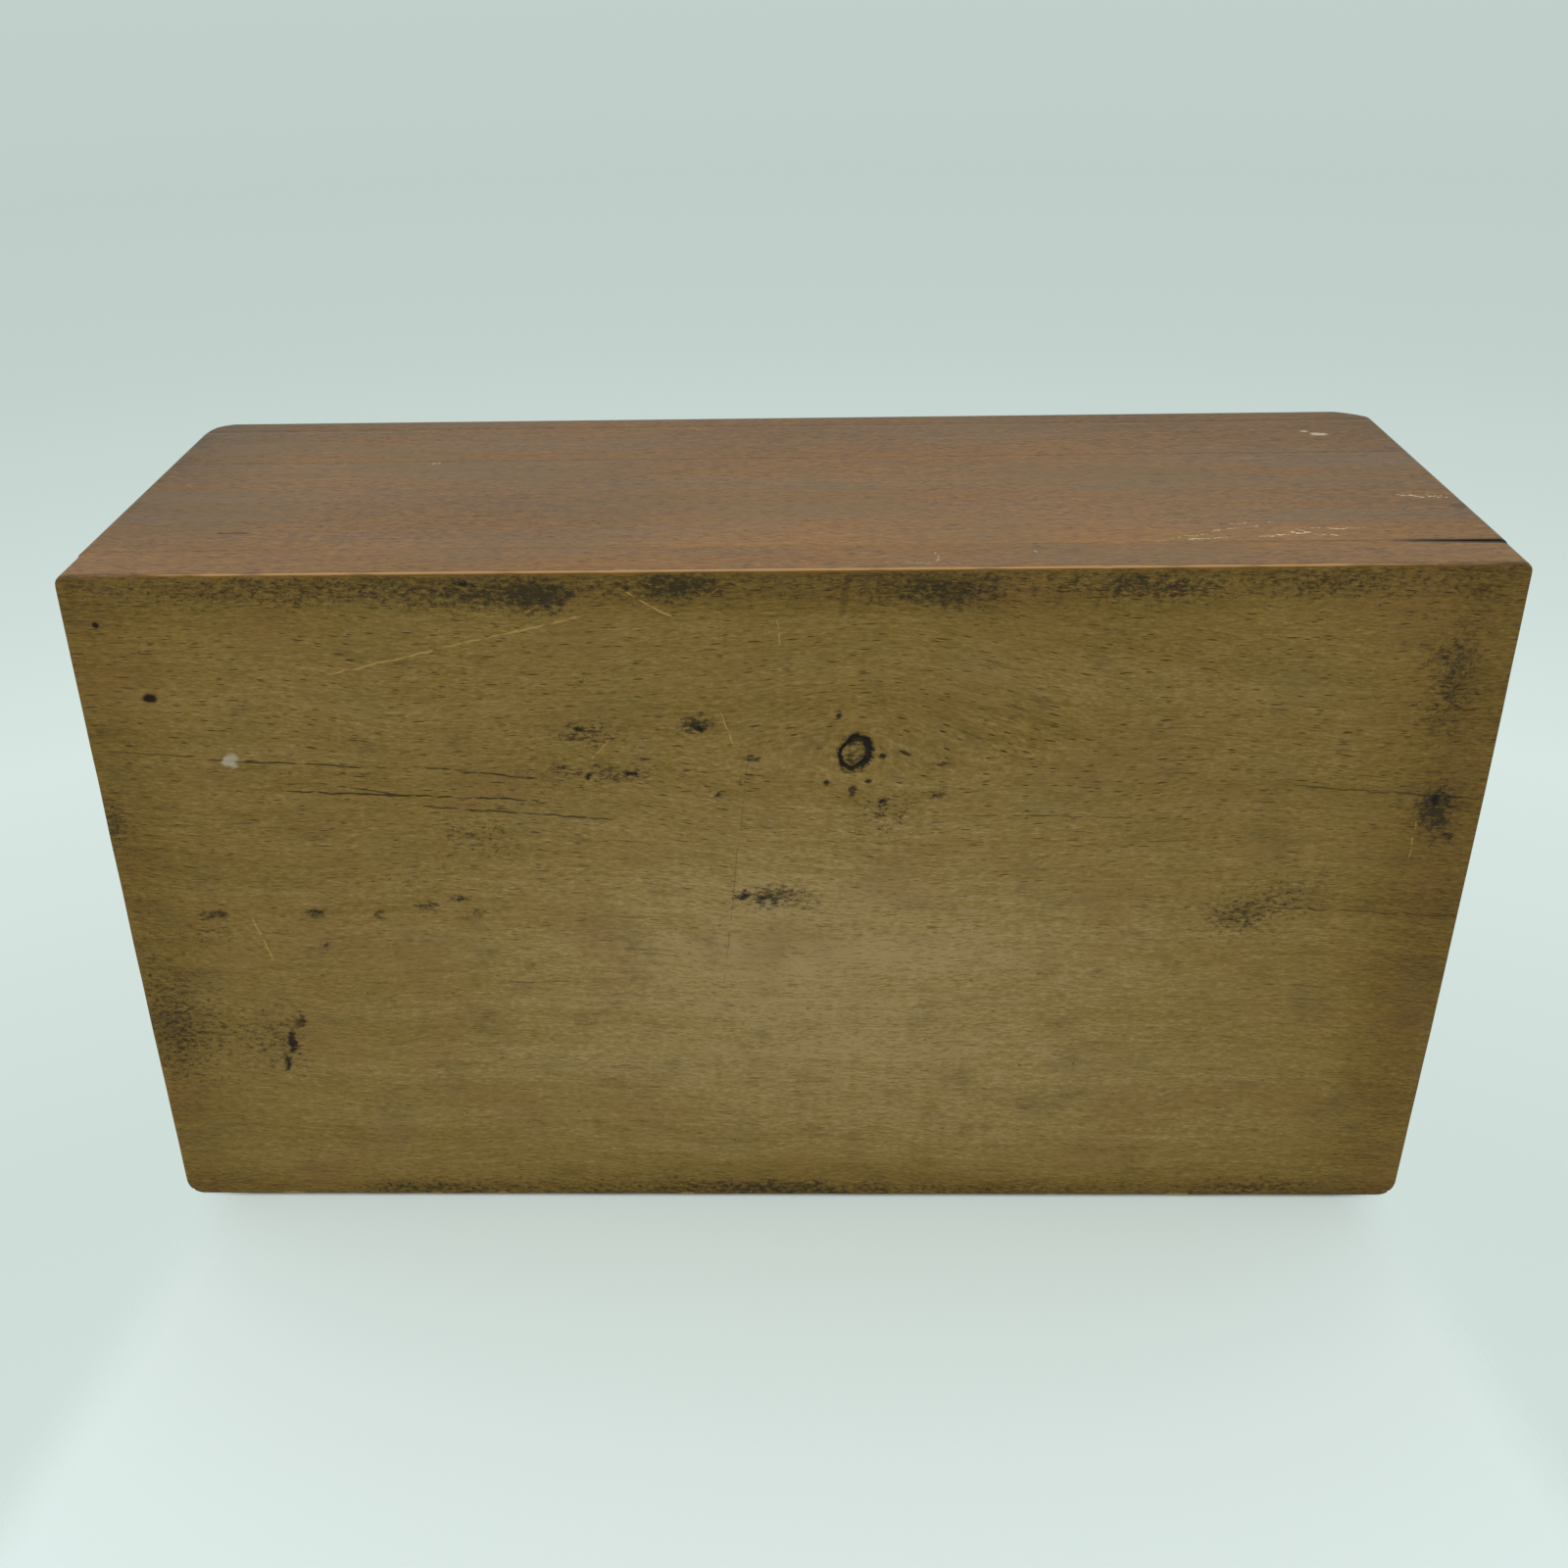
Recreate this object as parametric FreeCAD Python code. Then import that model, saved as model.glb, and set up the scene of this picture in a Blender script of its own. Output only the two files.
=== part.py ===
"""Wooden puzzle box: a plain box whose lid swings on a hidden corner pivot.

The top board slides along the lid and uncovers the head of a lock pin. With the pin up, the lid swings
sideways on a dowel hidden in the opposite corner. The box is modelled closed and unlocked, standing on its
base: +Z up, +X along its length, the photographed side at +Y, origin under the middle of the base.
All sizes are in millimetres.
"""

import FreeCAD
import Part
import math
import os

Vector = FreeCAD.Vector

# Overall sizes
box_length = 200.0
box_width = 110.0
box_height = 74.0
lid_depth = 24.0
base_thickness = 9.0
wall_thickness = 9.0
top_thickness = 6.0

# Rounding of the outside
front_corner_radius = 2.8
back_corner_radius = 1.2
base_edge_radius = 0.8
top_edge_radius = 0.8
top_right_radius = 5.4
top_left_run = 9.5
top_left_drop = 5.4

# Joints between the boards
rebate_width = 4.0
tongue_shoulder = 1.0
tongue_depth = 4.0
housing_clearance = 0.1
panel_clearance = 0.2
base_dowel_radius = 2.0
base_dowel_spacing = 60.0
base_dowel_in_base = 6.0
base_dowel_in_wall = 8.0

# Running and fixed fits
lid_gap = 0.2
top_gap = 0.2
running_fit = 0.06
fixed_fit = 0.03
hole_clearance = 0.4
slide_fit = 0.2

# Lid boards
panel_thickness = 3.0
panel_recess = 0.3
deck_thickness = 5.0
lid_block_height = 4.0
panel_pin_radius = 0.6
panel_pin_head_radius = 1.3
panel_pin_head = 0.6
panel_pin_length = 9.0
panel_pin_spacing = 40.0

# Posts inside the body
post_size = 20.0
post_drop = 0.3
corner_block_size = 12.0

# Pivot of the lid
pivot_radius = 4.0
pivot_depth = 30.0
pivot_top_gap = 0.4
washer_radius = 7.5
washer_thickness = 1.0
washer_gap = 0.1
peg_radius = 1.2
peg_length = 13.0
peg_gap = 0.1

# Lock pin
pin_radius = 3.0
pin_recess = 0.4
pin_head_radius = 5.5
pin_head_thickness = 3.0
pin_head_round = 0.8
pin_head_recess = 0.8
pin_set = 2.0
pin_landing_gap = 0.5
strike_spare_depth = 2.0
strike_clearance = 0.8
finger_side_gap = 1.0
finger_room = 10.0

# Sliding top board
slide_travel = 40.0
runner_offset = 25.0
runner_stem_width = 5.6
runner_flange_width = 10.6
runner_flange_thickness = 2.2
runner_margin = 5.0
slot_end_margin = 15.0
runner_screw_radius = 1.2
runner_screw_head_radius = 2.4
runner_screw_head_depth = 1.4
runner_screw_bite = 4.0
runner_screw_end = 15.0
screw_slot_width = 0.7
screw_slot_depth = 0.6

# Levels and limits that follow from the sizes above
half_length = box_length / 2
half_width = box_width / 2
inner_x = half_length - wall_thickness
inner_y = half_width - wall_thickness
rebate_x = inner_x + rebate_width
rebate_y = inner_y + rebate_width
tongue_out = half_length - tongue_shoulder
tongue_in = rebate_x + tongue_shoulder

body_top = box_height - lid_depth
post_top = body_top - post_drop
lid_bottom = body_top + lid_gap
top_bottom = box_height - top_thickness
lid_top = top_bottom - top_gap
panel_bottom = lid_bottom + panel_recess
panel_top = panel_bottom + panel_thickness
deck_bottom = lid_top - deck_thickness
lid_block_top = panel_top + lid_block_height

pivot_x = -(inner_x - post_size / 2)
pivot_y = inner_y - post_size / 2
pivot_bottom = body_top - pivot_depth
pivot_top = deck_bottom - pivot_top_gap
washer_bottom = lid_block_top + washer_gap
washer_top = washer_bottom + washer_thickness
peg_level = washer_top + peg_gap + peg_radius

lock_x = inner_x - post_size / 2
lock_y = -(inner_y - post_size / 2)
pin_head_top = lid_top - pin_head_recess
pin_head_bottom = pin_head_top - pin_head_thickness
pin_bottom = panel_bottom + pin_recess
lock_throw = pin_head_bottom - lid_block_top - pin_landing_gap
strike_bottom = pin_bottom - lock_throw - strike_spare_depth

finger_radius = pin_head_radius + finger_side_gap
finger_left = lock_x - finger_radius - finger_room
slot_left = -rebate_x + slot_end_margin
runner_left = slot_left + slide_fit + slide_travel
runner_right = finger_left - runner_margin
slot_right = runner_right + slide_fit
flange_bottom = deck_bottom + slide_fit
flange_top = flange_bottom + runner_flange_thickness
base_dowel_y = half_width - wall_thickness / 2


def slab(x_ends, y_ends, z_ends):
    """A box between the given pairs of ends, in either order."""
    low = Vector(min(x_ends), min(y_ends), min(z_ends))
    size = Vector(max(x_ends), max(y_ends), max(z_ends)) - low
    return Part.makeBox(size.x, size.y, size.z, low)


def rod(x, y, z_low, z_high, radius):
    """An upright round rod."""
    return Part.makeCylinder(radius, z_high - z_low, Vector(x, y, z_low))


def rounded_plan():
    """The box's outline seen from above, as a prism of its full height."""
    front = front_corner_radius
    back = back_corner_radius
    diagonal = 1 - math.sqrt(0.5)

    def corner(x_sign, y_sign, radius, along_x_first):
        x = x_sign * half_length
        y = y_sign * half_width
        on_x = Vector(x - x_sign * radius, y, 0)
        on_y = Vector(x, y - y_sign * radius, 0)
        middle = Vector(x - x_sign * radius * diagonal, y - y_sign * radius * diagonal, 0)
        start, end = (on_x, on_y) if along_x_first else (on_y, on_x)
        return Part.Arc(start, middle, end), start, end

    corners = [
        corner(1, -1, front, True),
        corner(1, 1, back, False),
        corner(-1, 1, back, True),
        corner(-1, -1, front, False),
    ]
    edges = []
    for (arc, start, end), (_, next_start, _) in zip(corners, corners[1:] + corners[:1]):
        edges.append(arc.toShape())
        edges.append(Part.LineSegment(end, next_start).toShape())
    return Part.Face(Part.Wire(edges)).extrude(Vector(0, 0, box_height))


plan = rounded_plan()


def outside(shape):
    """The shape with the box's rounded upright corners."""
    return shape.common(plan).removeSplitter()


def housings(z_ends):
    """The four upright grooves that take the tongues of two end boards."""
    grooves = []
    for x_sign in (-1, 1):
        for y_sign in (-1, 1):
            x_ends = (x_sign * (tongue_in - housing_clearance), x_sign * (tongue_out + housing_clearance))
            y_ends = (y_sign * inner_y, y_sign * (inner_y + tongue_depth + housing_clearance))
            grooves.append(slab(x_ends, y_ends, z_ends))
    return grooves


def long_board(y_sign, z_ends):
    """A board as long as the box, with a groove near each end for the end boards."""
    board = slab((-half_length, half_length), (y_sign * inner_y, y_sign * half_width), z_ends)
    return board.cut(housings(z_ends))


def end_board(x_sign, z_ends):
    """A board between the two long ones, with a tongue at each end."""
    board = slab((x_sign * inner_x, x_sign * half_length), (-inner_y, inner_y), z_ends)
    tongue_y = inner_y + tongue_depth
    tongues = slab((x_sign * tongue_in, x_sign * tongue_out), (-tongue_y, tongue_y), z_ends)
    return board.fuse(tongues).removeSplitter()


def dowel_places():
    """Where the hidden base dowels stand."""
    places = []
    for y_sign in (-1, 1):
        for step in (-1, 0, 1):
            places.append((step * base_dowel_spacing, y_sign * base_dowel_y))
    return places


def base_dowels(clearance=0.0):
    """The dowels between base and long walls, or their holes when given a clearance."""
    low = base_thickness - base_dowel_in_base - clearance
    high = base_thickness + base_dowel_in_wall + clearance
    return [rod(x, y, low, high, base_dowel_radius + clearance) for x, y in dowel_places()]


def base_board():
    """The single plank under the box, with its bottom edges eased."""
    board = outside(slab((-half_length, half_length), (-half_width, half_width), (0, base_thickness)))
    bottom_edges = [edge for edge in board.Edges if edge.BoundBox.ZMax < base_edge_radius / 2]
    return board.makeFillet(base_edge_radius, bottom_edges).cut(base_dowels(fixed_fit))


def long_wall(y_sign):
    """A long side of the body."""
    board = long_board(y_sign, (base_thickness, body_top))
    return outside(board.cut(base_dowels(fixed_fit)))


def end_wall(x_sign):
    """A short side of the body."""
    return outside(end_board(x_sign, (base_thickness, body_top)))


def corner_post(x_sign, y_sign, size, z_ends):
    """A square block in an inner corner."""
    x_ends = (x_sign * (inner_x - size), x_sign * inner_x)
    y_ends = (y_sign * (inner_y - size), y_sign * inner_y)
    return slab(x_ends, y_ends, z_ends)


def pivot_block():
    """The post that holds the pivot dowel."""
    block = corner_post(-1, 1, post_size, (base_thickness, post_top))
    return block.cut(rod(pivot_x, pivot_y, pivot_bottom, body_top, pivot_radius + fixed_fit))


def strike_block():
    """The post with the hole that the lock pin drops into."""
    block = corner_post(1, -1, post_size, (base_thickness, post_top))
    return block.cut(rod(lock_x, lock_y, strike_bottom, body_top, pin_radius + strike_clearance))


def pivot_peg(clearance=0.0):
    """The cross peg over the washer, or its hole through the dowel."""
    start = Vector(pivot_x, pivot_y - peg_length / 2, peg_level)
    return Part.makeCylinder(peg_radius + clearance, peg_length, start, Vector(0, 1, 0))


def pivot_dowel():
    """The upright dowel that the lid swings on."""
    dowel = rod(pivot_x, pivot_y, pivot_bottom, pivot_top, pivot_radius)
    return dowel.cut(pivot_peg(fixed_fit))


def pivot_washer():
    """The washer between the lid's block and the cross peg."""
    disc = rod(pivot_x, pivot_y, washer_bottom, washer_top, washer_radius)
    return disc.cut(rod(pivot_x, pivot_y, washer_bottom, washer_top, pivot_radius + fixed_fit))


def lid_rebates():
    """The two steps around the inside of the lid, for the underpanel and the deck."""
    x_ends = (-rebate_x, rebate_x)
    y_ends = (-rebate_y, rebate_y)
    return [slab(x_ends, y_ends, (lid_bottom, panel_top)), slab(x_ends, y_ends, (deck_bottom, lid_top))]


def panel_pins(clearance=0.0):
    """The pins that hold the underpanel to the long rails, or their holes."""
    pins = []
    for y_sign in (-1, 1):
        for step in (-1.5, -0.5, 0.5, 1.5):
            x = step * panel_pin_spacing
            y = y_sign * (inner_y + rebate_width / 2)
            shank = rod(x, y, panel_bottom, panel_bottom + panel_pin_length, panel_pin_radius + clearance)
            head_top = panel_bottom + panel_pin_head + clearance
            head = rod(x, y, panel_bottom, head_top, panel_pin_head_radius + clearance)
            pins.append(shank.fuse(head).removeSplitter())
    return pins


def lid_long_rail(y_sign):
    """A long side of the lid."""
    rail = long_board(y_sign, (lid_bottom, lid_top)).cut(lid_rebates() + panel_pins(fixed_fit))
    return outside(rail)


def lid_end_rail(x_sign):
    """A short side of the lid."""
    return outside(end_board(x_sign, (lid_bottom, lid_top)).cut(lid_rebates()))


def lid_board(z_ends):
    """A board that lies in one of the lid's two rebates."""
    x = rebate_x - panel_clearance
    y = rebate_y - panel_clearance
    return slab((-x, x), (-y, y), z_ends)


def lid_underpanel():
    """The thin board that closes the lid from below."""
    board = lid_board((panel_bottom, panel_top))
    pivot_hole = rod(pivot_x, pivot_y, panel_bottom, panel_top, pivot_radius + hole_clearance)
    pin_hole = rod(lock_x, lock_y, panel_bottom, panel_top, pin_radius + hole_clearance)
    return board.cut([pivot_hole, pin_hole] + panel_pins(fixed_fit))


def runner_slot(y):
    """The T slot for one runner, as long as the runner and its travel."""
    x_ends = (slot_left, slot_right)
    stem = runner_stem_width / 2 + slide_fit
    flange = runner_flange_width / 2 + slide_fit
    upper = slab(x_ends, (y - stem, y + stem), (deck_bottom, lid_top))
    lower = slab(x_ends, (y - flange, y + flange), (deck_bottom, flange_top + slide_fit))
    return upper.fuse(lower)


def finger_slot():
    """The round-ended slot around the pin's head, with room for a finger tip."""
    straight_left = finger_left + finger_radius
    y_ends = (lock_y - finger_radius, lock_y + finger_radius)
    middle = slab((straight_left, lock_x), y_ends, (deck_bottom, lid_top))
    right = rod(lock_x, lock_y, deck_bottom, lid_top, finger_radius)
    left = rod(straight_left, lock_y, deck_bottom, lid_top, finger_radius)
    return middle.fuse([right, left]).removeSplitter()


def lid_deck():
    """The board that the top board slides on."""
    slots = [runner_slot(-runner_offset), runner_slot(runner_offset), finger_slot()]
    return lid_board((deck_bottom, lid_top)).cut(slots).removeSplitter()


def lid_bored_block(x_sign, y_sign, radius):
    """A block inside the lid with a running bore through it."""
    block = corner_post(x_sign, y_sign, post_size, (panel_top, lid_block_top))
    x = x_sign * (inner_x - post_size / 2)
    y = y_sign * (inner_y - post_size / 2)
    return block.cut(rod(x, y, panel_top, lid_block_top, radius + running_fit))


def corner_pair(z_ends):
    """The two plain blocks in the corners that hold neither pivot nor lock."""
    return [corner_post(sign, sign, corner_block_size, z_ends) for sign in (-1, 1)]


def end_profile():
    """The top board seen from the front: quarter round at the right end, long worn bevel at the left."""
    top = box_height
    bevel_start = Vector(-half_length, 0, top - top_left_drop)
    bevel_end = Vector(-half_length + top_left_run, 0, top)
    bevel_radius = (top_left_run ** 2 + top_left_drop ** 2) / (2 * top_left_drop)
    half_turn = math.asin(top_left_run / bevel_radius) / 2
    bevel_middle = Vector(
        bevel_end.x - bevel_radius * math.sin(half_turn),
        0,
        top - bevel_radius * (1 - math.cos(half_turn)),
    )
    round_start = Vector(half_length - top_right_radius, 0, top)
    round_end = Vector(half_length, 0, top - top_right_radius)
    inset = top_right_radius * (1 - math.sqrt(0.5))
    round_middle = Vector(half_length - inset, 0, top - inset)
    low_right = Vector(half_length, 0, top_bottom)
    low_left = Vector(-half_length, 0, top_bottom)
    edges = [
        Part.Arc(bevel_start, bevel_middle, bevel_end).toShape(),
        Part.LineSegment(bevel_end, round_start).toShape(),
        Part.Arc(round_start, round_middle, round_end).toShape(),
        Part.LineSegment(round_end, low_right).toShape(),
        Part.LineSegment(low_right, low_left).toShape(),
        Part.LineSegment(low_left, bevel_start).toShape(),
    ]
    face = Part.Face(Part.Wire(edges))
    face.translate(Vector(0, -half_width, 0))
    return face.extrude(Vector(0, box_width, 0))


def runner_screw_places(y):
    """Where the two screws of one runner stand."""
    return [(runner_left + runner_screw_end, y), (runner_right - runner_screw_end, y)]


def runner_screw(x, y, clearance=0.0):
    """A countersunk screw from below through a runner into the top board, or its hole."""
    shank_radius = runner_screw_radius + clearance
    head_radius = runner_screw_head_radius + clearance
    shank = rod(x, y, flange_bottom, top_bottom + runner_screw_bite + clearance, shank_radius)
    start = Vector(x, y, flange_bottom)
    head = Part.makeCone(head_radius, shank_radius, runner_screw_head_depth + clearance, start)
    return shank.fuse(head).removeSplitter()


def slotted_screw(x, y):
    """A runner screw with the slot in its head."""
    reach = runner_screw_head_radius + screw_slot_width
    x_ends = (x - reach, x + reach)
    y_ends = (y - screw_slot_width / 2, y + screw_slot_width / 2)
    z_ends = (flange_bottom - screw_slot_depth, flange_bottom + screw_slot_depth)
    return runner_screw(x, y).cut(slab(x_ends, y_ends, z_ends))


def all_runner_screws():
    """The places of all runner screws."""
    return runner_screw_places(-runner_offset) + runner_screw_places(runner_offset)


def edge_profile():
    """The top board seen from its end: square below, with both top edges eased."""
    top = box_height
    inset = top_edge_radius * (1 - math.sqrt(0.5))
    edges = []
    for y_sign in (-1, 1):
        y = y_sign * half_width
        low = Vector(0, y, top_bottom)
        side = Vector(0, y, top - top_edge_radius)
        middle = Vector(0, y - y_sign * inset, top - inset)
        flat = Vector(0, y - y_sign * top_edge_radius, top)
        edges.append(Part.LineSegment(low, side).toShape())
        edges.append(Part.Arc(side, middle, flat).toShape())
    flat_y = half_width - top_edge_radius
    edges.append(Part.LineSegment(Vector(0, -flat_y, top), Vector(0, flat_y, top)).toShape())
    edges.append(Part.LineSegment(Vector(0, -half_width, top_bottom), Vector(0, half_width, top_bottom)).toShape())
    face = Part.Face(Part.Wire(Part.__sortEdges__(edges)))
    face.translate(Vector(-half_length, 0, 0))
    return face.extrude(Vector(box_length, 0, 0))


def top_board():
    """The board on top, with rounded ends and eased long edges."""
    board = end_profile().common(edge_profile()).common(plan).removeSplitter()
    return board.cut([runner_screw(x, y, fixed_fit) for x, y in all_runner_screws()])


def runner(y):
    """A T runner under the top board."""
    x_ends = (runner_left, runner_right)
    stem = slab(x_ends, (y - runner_stem_width / 2, y + runner_stem_width / 2), (flange_bottom, top_bottom))
    flange_y = (y - runner_flange_width / 2, y + runner_flange_width / 2)
    flange = slab(x_ends, flange_y, (flange_bottom, flange_top))
    holes = [runner_screw(x, place_y, fixed_fit) for x, place_y in runner_screw_places(y)]
    return stem.fuse(flange).removeSplitter().cut(holes)


def lock_pin():
    """The round pin that locks the lid to the strike block when it is down."""
    return rod(lock_x, lock_y, pin_bottom, pin_head_bottom + pin_set, pin_radius)


def lock_pin_head():
    """The turned head on the lock pin."""
    head = rod(lock_x, lock_y, pin_head_bottom, pin_head_top, pin_head_radius)
    rims = [edge for edge in head.Edges if edge.BoundBox.ZLength < pin_head_round / 2]
    socket = rod(lock_x, lock_y, pin_head_bottom, pin_head_bottom + pin_set + fixed_fit, pin_radius + fixed_fit)
    return head.makeFillet(pin_head_round, rims).cut(socket)


nodes = {
    "base_board": base_board(),
    "front_wall": long_wall(-1),
    "back_wall": long_wall(1),
    "left_end_wall": end_wall(-1),
    "right_end_wall": end_wall(1),
    "base_dowels": Part.makeCompound(base_dowels()),
    "corner_blocks": Part.makeCompound(corner_pair((base_thickness, post_top))),
    "pivot_block": pivot_block(),
    "strike_block": strike_block(),
    "pivot_dowel": pivot_dowel(),
    "pivot_washer": pivot_washer(),
    "pivot_peg": pivot_peg(),
    "lid_front_rail": lid_long_rail(-1),
    "lid_back_rail": lid_long_rail(1),
    "lid_left_rail": lid_end_rail(-1),
    "lid_right_rail": lid_end_rail(1),
    "lid_underpanel": lid_underpanel(),
    "lid_deck": lid_deck(),
    "lid_pivot_block": lid_bored_block(-1, 1, pivot_radius),
    "lid_lock_block": lid_bored_block(1, -1, pin_radius),
    "lid_corner_blocks": Part.makeCompound(corner_pair((panel_top, deck_bottom))),
    "panel_pins": Part.makeCompound(panel_pins()),
    "top_board": top_board(),
    "runner_front": runner(-runner_offset),
    "runner_back": runner(runner_offset),
    "runner_screws": Part.makeCompound([slotted_screw(x, y) for x, y in all_runner_screws()]),
    "lock_pin": lock_pin(),
    "lock_pin_head": lock_pin_head(),
}

os.makedirs("parts", exist_ok=True)
for name, shape in nodes.items():
    shape.exportStep(f"parts/{name}.step")
    print(f"{name}: {len(shape.Solids)} solids, {shape.Volume / 1000:.2f} cm3, valid {shape.isValid()}")
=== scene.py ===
# %% [markdown]
# # A worn wooden puzzle box
# The photograph shows an old box that stands on its long side: the bare base board faces the camera and the
# varnished back faces up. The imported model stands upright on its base, so everything below is placed in that
# upright frame, and the camera is what gets turned.

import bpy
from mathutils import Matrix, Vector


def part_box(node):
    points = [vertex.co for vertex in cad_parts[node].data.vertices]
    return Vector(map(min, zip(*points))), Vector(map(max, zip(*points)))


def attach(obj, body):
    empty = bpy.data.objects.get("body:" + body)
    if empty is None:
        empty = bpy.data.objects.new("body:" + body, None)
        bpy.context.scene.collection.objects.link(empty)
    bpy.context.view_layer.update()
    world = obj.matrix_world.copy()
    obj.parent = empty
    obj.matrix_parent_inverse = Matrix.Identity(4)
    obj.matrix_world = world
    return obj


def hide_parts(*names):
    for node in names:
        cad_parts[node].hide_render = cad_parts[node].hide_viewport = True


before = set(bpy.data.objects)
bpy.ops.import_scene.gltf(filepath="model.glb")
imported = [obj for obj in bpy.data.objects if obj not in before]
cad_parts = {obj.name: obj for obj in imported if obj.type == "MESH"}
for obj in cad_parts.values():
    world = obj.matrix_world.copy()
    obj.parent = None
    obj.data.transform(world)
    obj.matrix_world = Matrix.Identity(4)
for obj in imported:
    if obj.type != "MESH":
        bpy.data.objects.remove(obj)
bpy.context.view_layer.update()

# %% [markdown]
# ## Tools
# Blender's own modules make the meshes and materials, and numpy moves many points at once. The plain view
# transform shows each colour as it comes out of the light and the materials.

# %% Tools for the lesson
import math

import bmesh
import bpy
import numpy as np
from mathutils import Matrix, Vector, noise

scene = bpy.context.scene
scene.view_settings.view_transform = "Standard"
MM = 0.001
print("nodes in the frame:", len(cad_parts))

# %% [markdown]
# ## Camera
# The lens and the angles were fitted to the box's outline in the photograph and to the edge between the two
# faces that show. They are measured as the photographer stood: right, away and up. One small matrix turns
# those directions into the upright frame, where the photograph's up is +Y, its depth is +Z and its right is
# -X. The fit has the lens shifted a little sideways, because that made its largest miss smallest. Why the
# photograph needs the shift is not known.

# %% Camera
pitch = 0.4874
yaw = -0.033
roll = 0.0208
sensor_mm = 36
photo_pixels = 1600
focal_pixels = 1725.7
shift_pixels = 51.4
camera_place = (0.00032, 0.13636, -0.21528)
level_right = Vector((math.cos(yaw), -math.sin(yaw), 0))
level_up = Vector((math.sin(pitch) * math.sin(yaw), math.sin(pitch) * math.cos(yaw), math.cos(pitch)))
forward = Vector((math.cos(pitch) * math.sin(yaw), math.cos(pitch) * math.cos(yaw), -math.sin(pitch)))
right = math.cos(roll) * level_right - math.sin(roll) * level_up
up = math.sin(roll) * level_right + math.cos(roll) * level_up
into_frame = Matrix(((-1, 0, 0), (0, 0, 1), (0, 1, 0)))
turned = Matrix([into_frame @ axis for axis in (right, up, -forward)]).transposed()

camera_data = bpy.data.cameras.new("camera")
camera_data.sensor_width = sensor_mm
camera_data.lens = sensor_mm * focal_pixels / photo_pixels
camera_data.shift_x = shift_pixels / photo_pixels
camera_data.clip_start = 0.01
camera = bpy.data.objects.new("camera", camera_data)
camera.matrix_world = Matrix.Translation(camera_place) @ turned.to_4x4()
scene.collection.objects.link(camera)
scene.camera = camera
print("camera at", [round(value, 3) for value in camera.matrix_world.translation])

# %% [markdown]
# ## Small helpers for node trees
# A procedural material is a chain of small sums. Writing each sum as a function call that takes sockets or
# plain numbers keeps the chains short enough to read.

# %% Node helpers


def feed(tree, socket, value):
    """Links a socket, or sets a plain value."""
    if isinstance(value, bpy.types.NodeSocket):
        tree.links.new(value, socket)
    else:
        socket.default_value = value


def calc(tree, operation, first, second=0.0, clamp=False):
    """One math node."""
    made = tree.nodes.new("ShaderNodeMath")
    made.operation = operation
    made.use_clamp = clamp
    feed(tree, made.inputs[0], first)
    feed(tree, made.inputs[1], second)
    return made.outputs[0]


def vector_calc(tree, operation, first, second=(0, 0, 0)):
    """One vector math node."""
    made = tree.nodes.new("ShaderNodeVectorMath")
    made.operation = operation
    feed(tree, made.inputs[0], first)
    feed(tree, made.inputs[1], second)
    return made.outputs["Value"] if operation in ("LENGTH", "DOT_PRODUCT") else made.outputs["Vector"]


def plus(tree, first, second, share):
    """The first value and a share of the second."""
    return calc(tree, "ADD", first, calc(tree, "MULTIPLY", second, share))


def stretch(tree, place, factors):
    """A place multiplied axis by axis, which draws out or squeezes what is drawn there."""
    return vector_calc(tree, "MULTIPLY", place, factors)


def span(tree, value, low, high, at_low=0.0, at_high=1.0):
    """A smooth step from one value to another."""
    made = tree.nodes.new("ShaderNodeMapRange")
    made.interpolation_type = "SMOOTHSTEP"
    for index, entry in enumerate((value, low, high, at_low, at_high)):
        feed(tree, made.inputs[index], entry)
    return made.outputs[0]


def cloud(tree, place, detail=2.0, roughness=0.5):
    """Noise between 0 and 1 at a place."""
    made = tree.nodes.new("ShaderNodeTexNoise")
    feed(tree, made.inputs["Vector"], place)
    made.inputs["Scale"].default_value = 1.0
    made.inputs["Detail"].default_value = detail
    made.inputs["Roughness"].default_value = roughness
    return made.outputs[0]


def mix(tree, factor, first, second):
    """Mixes two colours."""
    made = tree.nodes.new("ShaderNodeMix")
    made.data_type = "RGBA"
    made.blend_type = "MIX"
    feed(tree, made.inputs[0], factor)
    feed(tree, made.inputs[6], first)
    feed(tree, made.inputs[7], second)
    return made.outputs[2]


def painted(tree, name):
    """A value that was painted on the points of a mesh, 0 where there is none."""
    made = tree.nodes.new("ShaderNodeAttribute")
    made.attribute_name = name
    return made.outputs["Fac"]


def shade(red, green, blue):
    """A colour as a painter picks it, 0 to 255, turned into the linear light that Blender works in."""
    levels = [value / 255 for value in (red, green, blue)]
    linear = [v / 12.92 if v <= 0.04045 else ((v + 0.055) / 1.055) ** 2.4 for v in levels]
    return (*linear, 1.0)


def ladder(tree, value, steps):
    """A colour ramp from (position, colour) pairs."""
    made = tree.nodes.new("ShaderNodeValToRGB")
    stops = made.color_ramp.elements
    while len(stops) < len(steps):
        stops.new(1.0)
    for stop, (position, colour) in zip(stops, steps):
        stop.position = position
        stop.color = colour
    feed(tree, made.inputs[0], value)
    return made.outputs[0]


def new_material(name):
    """A material, its tree and its shader."""
    made = bpy.data.materials.new(name)
    made.use_nodes = True
    return made, made.node_tree, made.node_tree.nodes["Principled BSDF"]


def roughen(tree, shader, height, strength, depth):
    """Bumps a shader's surface by a height, with the depth in metres."""
    bump = tree.nodes.new("ShaderNodeBump")
    bump.inputs["Strength"].default_value = strength
    bump.inputs["Distance"].default_value = depth
    feed(tree, bump.inputs["Height"], height)
    feed(tree, shader.inputs["Normal"], bump.outputs[0])


print("helpers ready")

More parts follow.
